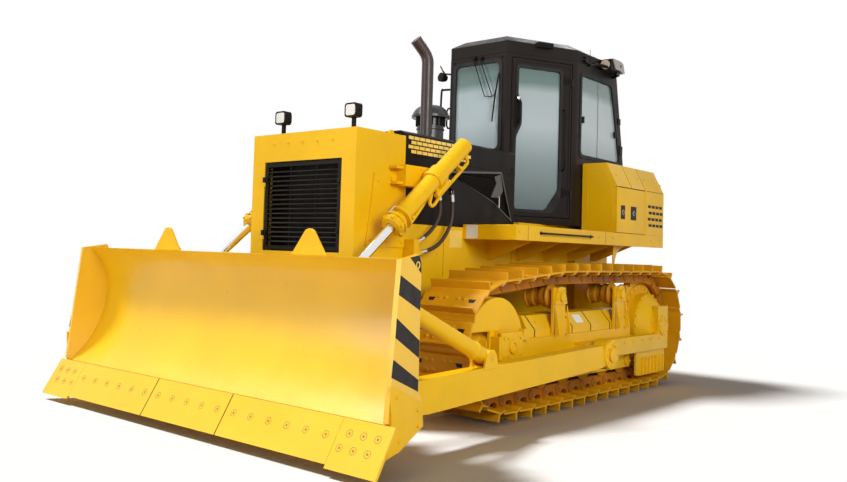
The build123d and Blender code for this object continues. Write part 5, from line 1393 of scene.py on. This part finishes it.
def build_lamp_guards():
    """Plates on the rear work lamps' hoods, and the lamps' glasses."""
    plates = Piece("lamp_guards", "chassis", "cab_paint")
    for sign in (1, -1):
        shape = [(1.575, 3.078), (1.640, 3.0795), (1.740, 3.0795), (1.800, 3.062), (1.838, 2.975),
                 (1.800, 2.972), (1.750, 2.985), (1.640, 2.985)]
        plates.prism(shape, "x", sign * 0.7575, sign * 0.7695, grey_paint)
        plates.lathe([(0.0, 0.014), (0.0015, 0.014), (0.0015, 0.0)], (sign * 0.7692, 1.745, 3.030),
                     (sign, 0, 0), seam, 16)
        plates.lathe([(0.0, 0.046), (0.006, 0.044), (0.010, 0.030), (0.012, 0.0)],
                     (sign * 0.7035, 1.5455, 3.020), (sign * 0.25, -0.97, 0.0), amber, 28)
    plates.done(0.0015, 1)


def build_door(side, sign):
    """Cab door with its rubber, pressed edge, handle, hinges and grab rail."""
    body = f"door_{side}"
    place = on_door(sign)
    door = Piece(f"door_panel_{side}", body, "cab_paint").copy(f"door_{side}", cab_paint)
    door.done(0.004, replaces=(f"door_{side}",))
    out = place(0, 0, 1) - place(0, 0, 0)
    trim = Piece(f"door_trim_{side}", body, "black_paint")
    ring(trim, rounded(grown(DOOR_WINDOW, 0.020), 0.045), rounded(grown(DOOR_GLASS, -0.008), 0.032), place,
         -0.0112, 0.006, rubber)
    # pressed edge all round the door, handle in its bay, hinge straps
    edge = [(0.078, 1.533), (DOOR_RUN - 0.078, 1.533), (DOOR_RUN - 0.078, 2.922), (0.078, 2.922)]
    ring(trim, rounded(edge, 0.03), rounded(grown(edge, -0.010), 0.024), place, -0.004, 0.0045, cab_paint)
    trim.hull([place(u, v, 0.0) for u, v in ((0.100, 2.300), (0.158, 2.330), (0.158, 2.560), (0.100, 2.590))],
              [place(u, v, 0.012) for u, v in ((0.108, 2.315), (0.150, 2.340), (0.150, 2.550),
                                               (0.108, 2.575))], black)
    trim.tube([place(*p) for p in ((0.128, 2.350, 0.010), (0.128, 2.352, 0.040), (0.128, 2.380, 0.052),
                                   (0.128, 2.510, 0.052), (0.128, 2.538, 0.040), (0.128, 2.540, 0.010))],
              0.009, black, 10)
    trim.lathe([(0.0, 0.015), (0.006, 0.014), (0.008, 0.010), (0.008, 0.0)], place(0.134, 2.572, 0.010), out,
               chrome, 20)
    for z in (1.750, 2.780):
        low = [place(u, v, 0.0) for u, v in ((0.610, z - 0.045), (0.706, z - 0.020), (0.706, z + 0.020),
                                             (0.610, z + 0.045))]
        high = [place(u, v, 0.007) for u, v in ((0.612, z - 0.043), (0.704, z - 0.019), (0.704, z + 0.019),
                                                (0.612, z + 0.043))]
        trim.hull(low, high, black)
        for du in (0.630, 0.675):
            trim.bolt(place(du, z, 0.007), out, 0.008, black, False)
    # grab rail at the door's lower half
    trim.tube([place(*p) for p in ((0.620, 1.95, 0.0), (0.620, 1.96, 0.035), (0.620, 2.0, 0.045),
                                   (0.620, 2.46, 0.045), (0.620, 2.50, 0.035), (0.620, 2.51, 0.0))], 0.008,
              black, 10)
    trim.done()
    finish_node(f"door_glass_{side}", pane)


# middle and half sizes of the seat's cushion and of its back; SQUARE makes their outline boxy, 1 is round
CUSHION, CUSHION_HALF = (0.0, 1.478, 1.832), (0.243, 0.226, 0.068)
BACKREST, BACKREST_HALF = (0.0, 1.700, 2.178), (0.236, 0.056, 0.272)
SQUARE = 0.30


def power(value, exponent):
    """Power that keeps the value's sign."""
    return math.copysign(abs(value) ** exponent, value)


def pad(piece, centre, half):
    """Crowned cushion about its centre, with the given half sizes."""
    rows, columns = 24, 64
    rings = []
    flat = half.index(min(half))
    wide = [k for k in range(3) if k != flat]
    for r in range(1, rows):
        rise = math.pi * r / rows - math.pi / 2
        points = []
        for n in range(columns):
            turn = 2 * math.pi * n / columns
            spot = [0.0, 0.0, 0.0]
            spot[wide[0]] = half[wide[0]] * power(math.cos(rise), SQUARE) * power(math.cos(turn), SQUARE)
            spot[wide[1]] = half[wide[1]] * power(math.cos(rise), SQUARE) * power(math.sin(turn), SQUARE)
            spot[flat] = half[flat] * power(math.sin(rise), 0.75)
            points.append(Vector(centre) + Vector(spot))
        rings.append(points)
    piece.skin(rings, fabric)


def build_seat():
    """Seat: its box, cushions and piping."""
    seat = Piece("operator_seat_base", "chassis", "black_plastic")
    seat.box((-0.21, 1.30, 1.486), (0.21, 1.66, 1.560), plastic)
    seat.prism([(1.33, 1.558), (1.63, 1.558), (1.60, 1.700), (1.36, 1.700)], "x", -0.17, 0.17, plastic)
    seat.box((-0.235, 1.262, 1.698), (0.235, 1.70, 1.762), plastic)
    seat.done(0.008)
    cushion = Piece("seat_cushions", "chassis", "seat_fabric")
    pad(cushion, CUSHION, CUSHION_HALF)
    pad(cushion, BACKREST, BACKREST_HALF)
    made = cushion.done(replaces=("seat",))
    piping = Piece("seat_piping", "chassis", "seat_fabric")
    for at, half in ((CUSHION, (0.2435, 0.2265, 0.0)), (BACKREST, (0.2365, 0.0, 0.2725))):
        loop = []
        for turn in (2 * math.pi * n / 72 for n in range(73)):
            wide, long = power(math.cos(turn), SQUARE), power(math.sin(turn), SQUARE)
            loop.append(Vector(at) + Vector((half[0] * wide, half[1] * long, half[2] * long)))
        piping.tube(loop, 0.0042, plastic, 8)
    for x in (-0.09, 0.09):
        piping.tube([(x, 1.478 + 0.19 * t, 1.832 + 0.0672 * (1 - abs(t) ** 6) ** 0.5 - 0.001)
                     for t in (-0.98, -0.9, -0.7, 0, 0.7, 0.9)], 0.0032, plastic, 6)
        piping.tube([(x, 1.700 - 0.0552 * (1 - abs(t) ** 6) ** 0.5 + 0.001, 2.178 + 0.24 * t)
                     for t in (-0.9, -0.7, 0, 0.7, 0.9, 0.98)], 0.0032, plastic, 6)
    piping.done()


def build_controls():
    """Dashboard, side consoles, levers and pedals."""
    board = Piece("dash_and_levers", "chassis", "black_plastic")
    board.prism([(0.472, 1.486), (0.688, 1.486), (0.650, 1.900), (0.560, 2.012), (0.472, 2.012)], "x", -0.228,
                0.228, plastic)
    for x in (-0.10, 0.0, 0.10):
        board.lathe([(-0.004, 0.036), (0.006, 0.034), (0.008, 0.030), (0.004, 0.028), (0.004, 0.0)],
                    (x, 0.605, 1.956), (0, 0.78, 0.63), steel, 24)
    for sign in (-1, 1):
        x = sign * 0.415
        board.prism([(1.302, 1.486), (1.758, 1.486), (1.758, 1.960), (1.700, 2.012), (1.330, 2.012),
                     (1.302, 1.980)], "x", x - 0.083, x + 0.083, plastic)
        board.lathe([(0.0, 0.030), (0.010, 0.034), (0.022, 0.026), (0.030, 0.012), (0.085, 0.010)],
                    (x, 1.385, 2.0095), (0, -0.16, 0.98), plastic, 20)
        board.lathe([(0.0, 0.012), (0.012, 0.022), (0.050, 0.026), (0.078, 0.022), (0.086, 0.010),
                     (0.087, 0.0)], (x, 1.372, 2.090), (0, -0.16, 0.98), black, 20)
        board.lathe([(0.0, 0.012), (0.006, 0.014), (0.150, 0.010), (0.158, 0.020), (0.196, 0.020),
                     (0.202, 0.0)], (sign * 0.12, 0.700, 1.486), (0, 0.2, 0.97), plastic, 16)
    board.done(0.006, replaces=("console",))


build_cab_shell()
build_cab_fittings()
build_lamp_guards()
for side, sign in SIDES:
    build_door(side, sign)
build_seat()
build_controls()
finish_node("cab_glass", pane)


# ---------------------------------------------------------------- decks, boxes, tank and rear
DECK_OUT, DECK_TOP, DECK_FRONT = 1.000, 1.400, -0.450
SKIRT = 0.512
BOX_Y, TANK_Y, TAIL_Y = 1.240, 1.850, 2.275
SHOULDER, RIDGE_X, TANK_HIGH = 1.820, 0.889, 2.040
CASE_END = 2.120
BAR_Z, SEAM_Z, LATCH_Z = 1.347, 1.8185, 1.591
TREAD_ROWS, TREAD_COLUMNS, TREAD_PITCH = 7, 40, 0.041
TAIL_LAMP = (0.86, 1.56)


def build_deck(side, sign):
    """Trim of a deck, its skirt, box and tank."""
    out = (sign, 0, 0)
    trim = Piece(f"deck_trim_{side}", "chassis")
    # grab bar along the deck's edge
    x = sign * DECK_OUT
    trim.tube([(x + sign * off, y, BAR_Z) for off, y in ((-0.004, -0.090), (0.022, -0.088), (0.028, -0.070),
                                                         (0.028, 0.720), (0.022, 0.738), (-0.004, 0.740))],
              0.0075, black, 10)
    for y in (-0.09, 0.74):
        trim.lathe([(-0.001, 0.016), (0.003, 0.016), (0.004, 0.013), (0.004, 0.0)], (x, y, BAR_Z), out, black,
                   18)
    # seams and bolts of the deck's edge plate
    for y in (-0.28, 1.02):
        trim.patch(on_x(x, y, y + 0.004, 1.290, 1.396), out, 0.0006, seam)
    for y in (-0.40, 0.90, 1.16, 1.98, 2.20):
        trim.bolt((x, y, 1.350), out, 0.010, yellow)
    # anti-slip tread on the deck's top
    for row in range(TREAD_ROWS):
        for column in range(TREAD_COLUMNS):
            across, y = sign * (0.675 + 0.045 * row), DECK_FRONT + 0.045 + TREAD_PITCH * column
            lean = 0.011 if (row + column) % 2 else -0.011
            a, b = Vector((across - lean, y - 0.011, DECK_TOP)), Vector((across + lean, y + 0.011, DECK_TOP))
            wide = (b - a).cross(Vector(UP)).normalized() * 0.0035
            trim.patch([a - wide, b - wide, b + wide, a + wide], UP, 0.0025, yellow)
    # blank plates on the left skirt and the deck's front edge
    if sign > 0:
        trim.patch([(SKIRT, y, z) for y, z in ((-0.620, 1.214), (-0.460, 1.216), (-0.464, 1.350),
                                               (-0.624, 1.346))], out, 0.0015, pale_yellow)
        trim.patch([(px, DECK_FRONT, pz) for px, pz in ((0.545, 1.290), (0.650, 1.290), (0.650, 1.394),
                                                        (0.545, 1.394))], (0, -1, 0), 0.0015, white_plate)
    for y in (-1.02, -0.78, 0.10, 0.55, 1.00):
        trim.bolt((sign * SKIRT, y, 1.160), out, 0.012, yellow)
    for y in (-0.70, 0.26):
        trim.patch(on_x(sign * SKIRT, y, y + 0.004, 0.99, 1.37), out, 0.0006, seam)
    # seams at the shoulders of the box and the tank, and the tank's louvres
    for y0, y1 in ((BOX_Y + 0.02, TANK_Y - 0.02), (TANK_Y + 0.02, TAIL_Y - 0.03)):
        trim.patch(on_x(x - sign * 0.0015, y0, y1, SEAM_Z, SEAM_Z + 0.004), out, 0.0022, seam)
    for row in range(4):
        for column in range(4):
            y, z = 1.905 + 0.086 * column + 0.018 * (row % 2), 1.662 - 0.060 * row
            trim.patch(on_x(x, y, y + 0.070, z, z + 0.030), out, 0.0008, black)
            trim.prism([(y - 0.003, z + 0.027), (y + 0.073, z + 0.027), (y + 0.066, z + 0.038),
                        (y + 0.004, z + 0.038)], "x", x, x + sign * 0.005, yellow)
    slope = Vector((sign * (TANK_HIGH - SHOULDER), 0, DECK_OUT - RIDGE_X)).normalized()
    low, high = Vector((sign * DECK_OUT, 0, SHOULDER)), Vector((sign * RIDGE_X, 0, TANK_HIGH))
    for y in (TANK_Y - 0.004, BOX_Y + 0.30):
        corners = [low.lerp(high, t) + Vector((0, y + dy, 0))
                   for t, dy in ((0.02, 0), (0.98, 0), (0.98, 0.005), (0.02, 0.005))]
        trim.patch(corners, slope, 0.0007, seam)
    for y in (1.32, 1.78, 1.92, 2.18):
        trim.bolt(low.lerp(high, 0.5) + Vector((0, y, 0)), slope, 0.010, yellow)
    # pressed panel on the box's front
    front = [(0.700, 1.440), (0.955, 1.440), (0.955, 1.790), (0.860, 1.985), (0.700, 1.985)]
    ring(trim, rounded(front, 0.035), rounded(grown(front, -0.006), 0.030),
         lambda u, v, w: Vector((sign * u, BOX_Y - w, v)), -0.002, 0.0025, yellow)
    # curved brace under the deck
    curve = bezier(*(Vector(p) for p in ((1.410, 1.117), (1.435, 1.285), (1.710, 1.290))), 8)
    trim.prism([(1.405, 1.110), *curve, (1.710, 1.300), (1.385, 1.300), (1.385, 1.110)], "x", sign * 0.890,
               sign * 0.902, yellow)
    trim.done(0.0008, 1)


def build_box_door(side, sign):
    """Latches and pressed lip of a box's door."""
    x, out = sign * DECK_OUT, (sign, 0, 0)
    fit = Piece(f"box_latches_{side}", f"box_door_{side}", "black_paint")
    for y, wide in ((1.358, 0.042), (1.582, 0.058)):
        fit.patch(on_x(x, y - wide, y + wide, LATCH_Z - 0.063, LATCH_Z + 0.063), out, 0.0022, black)
        fit.lathe([(0.0, 0.024), (0.006, 0.024), (0.008, 0.021), (0.008, 0.017), (0.005, 0.014),
                   (0.005, 0.0)], (x, y, LATCH_Z), out, grey_paint, 24)
        fit.prism([(y + dy, LATCH_Z + dz) for dy, dz in ((-0.004, -0.016), (0.004, -0.016), (0.004, 0.016),
                                                         (-0.004, 0.016))], "x", x + sign * 0.004,
                  x + sign * 0.011, black)
    fit.done(0.0008, 1)
    lip = Piece(f"box_door_lip_{side}", f"box_door_{side}")
    edge = [(BOX_Y + 0.022, 1.424), (TANK_Y - 0.028, 1.424), (TANK_Y - 0.028, 1.796), (BOX_Y + 0.022, 1.796)]
    ring(lip, rounded(edge, 0.02), rounded(grown(edge, -0.005), 0.016), on_plate(x, sign), -0.001, 0.002,
         yellow)
    lip.done()


def build_rear():
    """Covers, cap, lamps and rails of the tank and the final case."""
    back = (0, 1, 0)
    rear = Piece("rear_trim", "chassis")
    # cover plates of the tank and the final case, with their bolts
    for half, z0, z1, y in ((0.30, 0.76, 1.16, CASE_END), (0.42, 1.47, 1.93, TAIL_Y)):
        rear.prism(rounded([(-half, z0), (half, z0), (half, z1), (-half, z1)], 0.03), "y", y - 0.002,
                   y + 0.008, yellow)
        edge = half - 0.03
        for k in range(6):
            for z in (z0 + 0.025, z1 - 0.025):
                rear.bolt((edge * (2 * k / 5 - 1), y + 0.008, z), back, 0.011, yellow)
        for z in (z0 + (z1 - z0) * 0.35, z0 + (z1 - z0) * 0.65):
            for x in (-edge, edge):
                rear.bolt((x, y + 0.008, z), back, 0.011, yellow)
    # filler cap with its handle
    rear.lathe([(-0.004, 0.075), (0.012, 0.075), (0.016, 0.066), (0.030, 0.062), (0.052, 0.060),
                (0.058, 0.054), (0.058, 0.0)], (-0.76, 2.06, TANK_HIGH), UP, black, 36)
    rear.tube([(x, 2.06, TANK_HIGH + up) for x, up in ((-0.80, 0.056), (-0.80, 0.066), (-0.72, 0.066),
                                                       (-0.72, 0.056))], 0.006, black, 8)
    # lifting eye, tail lamp and grab rail on each side
    for sign in (-1, 1):
        rear.tube([(sign * 0.60, y, TANK_HIGH + up)
                   for y, up in ((2.16, -0.006), (2.16, 0.030), (2.19, 0.045), (2.22, 0.030),
                                 (2.22, -0.006))], 0.010, yellow, 10)
        lamp = (sign * TAIL_LAMP[0], TAIL_Y, TAIL_LAMP[1])
        rear.lathe([(-0.002, 0.046), (0.022, 0.046), (0.026, 0.040), (0.020, 0.038), (0.020, 0.0)], lamp,
                   back, black, 30)
        rear.lathe([(0.0, 0.037), (0.023, 0.036), (0.027, 0.020), (0.028, 0.0)], lamp, back, tail_red, 30)
        rear.tube([(sign * 0.93, TAIL_Y + off, z)
                   for off, z in ((-0.002, 1.66), (0.05, 1.67), (0.06, 1.70), (0.06, 1.88), (0.05, 1.91),
                                  (-0.002, 1.92))], 0.011, black, 10)
    rear.patch([(0.50, TAIL_Y, 1.62), (0.53, TAIL_Y, 1.62), (0.53, TAIL_Y, 1.86), (0.50, TAIL_Y, 1.86)], back,
               0.003, lamp_face)
    rear.done(0.0012, 1)


for side, sign in SIDES:
    build_deck(side, sign)
    build_box_door(side, sign)
build_rear()


# ---------------------------------------------------------------- floor and light
WORLD_LIGHT = 0.16
FLOOR_GLOW = 0.01
SUN, SUN_FROM, SUN_ANGLE = 3.15, (-0.52, -0.30, 1.0), math.radians(11)
LOOK_AT = (0.0, 0.0, 1.2)
# name, place, size and watts of the soft lamps
FILLS = (("front", (-3.0, -9.5, 2.6), 5.0, 240), ("side", (9.0, -4.5, 4.5), 5.0, 620),
         ("rear", (-2.5, 9.5, 5.5), 6.0, 420))


def build_world():
    """Dim light on the object, and plain white where it is looked at."""
    world = bpy.data.worlds.new("studio")
    bpy.context.scene.world = world
    world.use_nodes = True
    nodes, links = world.node_tree.nodes, world.node_tree.links
    nodes.clear()
    mix = nodes.new("ShaderNodeMixShader")
    links.new(seen_ray(nodes, links), mix.inputs[0])
    for socket, colour, strength in ((mix.inputs[1], (1.0, 0.98, 0.95, 1), WORLD_LIGHT),
                                     (mix.inputs[2], (1, 1, 1, 1), 1.0)):
        backdrop = nodes.new("ShaderNodeBackground")
        backdrop.inputs["Color"].default_value = colour
        backdrop.inputs["Strength"].default_value = strength
        links.new(backdrop.outputs[0], socket)
    out = nodes.new("ShaderNodeOutputWorld")
    links.new(mix.outputs[0], out.inputs["Surface"])


def build_floor():
    """White paper to the eye, duller as a source of bounced light, and it keeps the shadow."""
    bpy.ops.mesh.primitive_plane_add(size=160, location=(0, 0, 0))
    floor = bpy.context.object
    floor.name = "floor"
    mat, nodes, links, bsdf = new_material("studio_floor")
    paper = ramp(nodes, links, noise(nodes, links, 0.4, 2), [(0.3, (0.99, 0.99, 0.99)), (0.7, (1, 1, 1))])
    dull = ramp(nodes, links, noise(nodes, links, 0.4, 2),
                [(0.3, (0.58, 0.54, 0.50)), (0.7, (0.62, 0.58, 0.54))])
    seen = seen_ray(nodes, links)
    links.new(colour_mix(nodes, links, seen, dull, paper), bsdf.inputs["Base Color"])
    bsdf.inputs["Roughness"].default_value = 0.9
    bsdf.inputs["Specular IOR Level"].default_value = 0.0
    bsdf.inputs["Emission Color"].default_value = (1, 1, 1, 1)
    links.new(sums(nodes, links, "MULTIPLY", seen, FLOOR_GLOW), bsdf.inputs["Emission Strength"])
    floor.data.materials.append(mat)
    return floor


def build_lights(floor):
    """One sun that draws the shadow, and soft lamps that leave the floor alone."""
    scene = bpy.context.scene
    sun = bpy.data.lights.new("key", "SUN")
    sun.energy, sun.angle, sun.color = SUN, SUN_ANGLE, (1.0, 0.995, 0.985)
    key = bpy.data.objects.new("key", sun)
    key.rotation_euler = Vector(SUN_FROM).to_track_quat("Z", "Y").to_euler()
    scene.collection.objects.link(key)
    spared = bpy.data.collections.new("unlit_by_fills")
    spared.objects.link(floor)
    spared.collection_objects[0].light_linking.link_state = "EXCLUDE"
    for name, at, size, watts in FILLS:
        lamp = bpy.data.lights.new(name, "AREA")
        lamp.shape, lamp.size, lamp.energy = "DISK", size, watts
        obj = bpy.data.objects.new(name, lamp)
        obj.location = at
        obj.rotation_euler = (Vector(LOOK_AT) - Vector(at)).to_track_quat("-Z", "Y").to_euler()
        scene.collection.objects.link(obj)
        obj.light_linking.receiver_collection = spared


bpy.context.scene.view_settings.view_transform = "Standard"
build_world()
build_lights(build_floor())
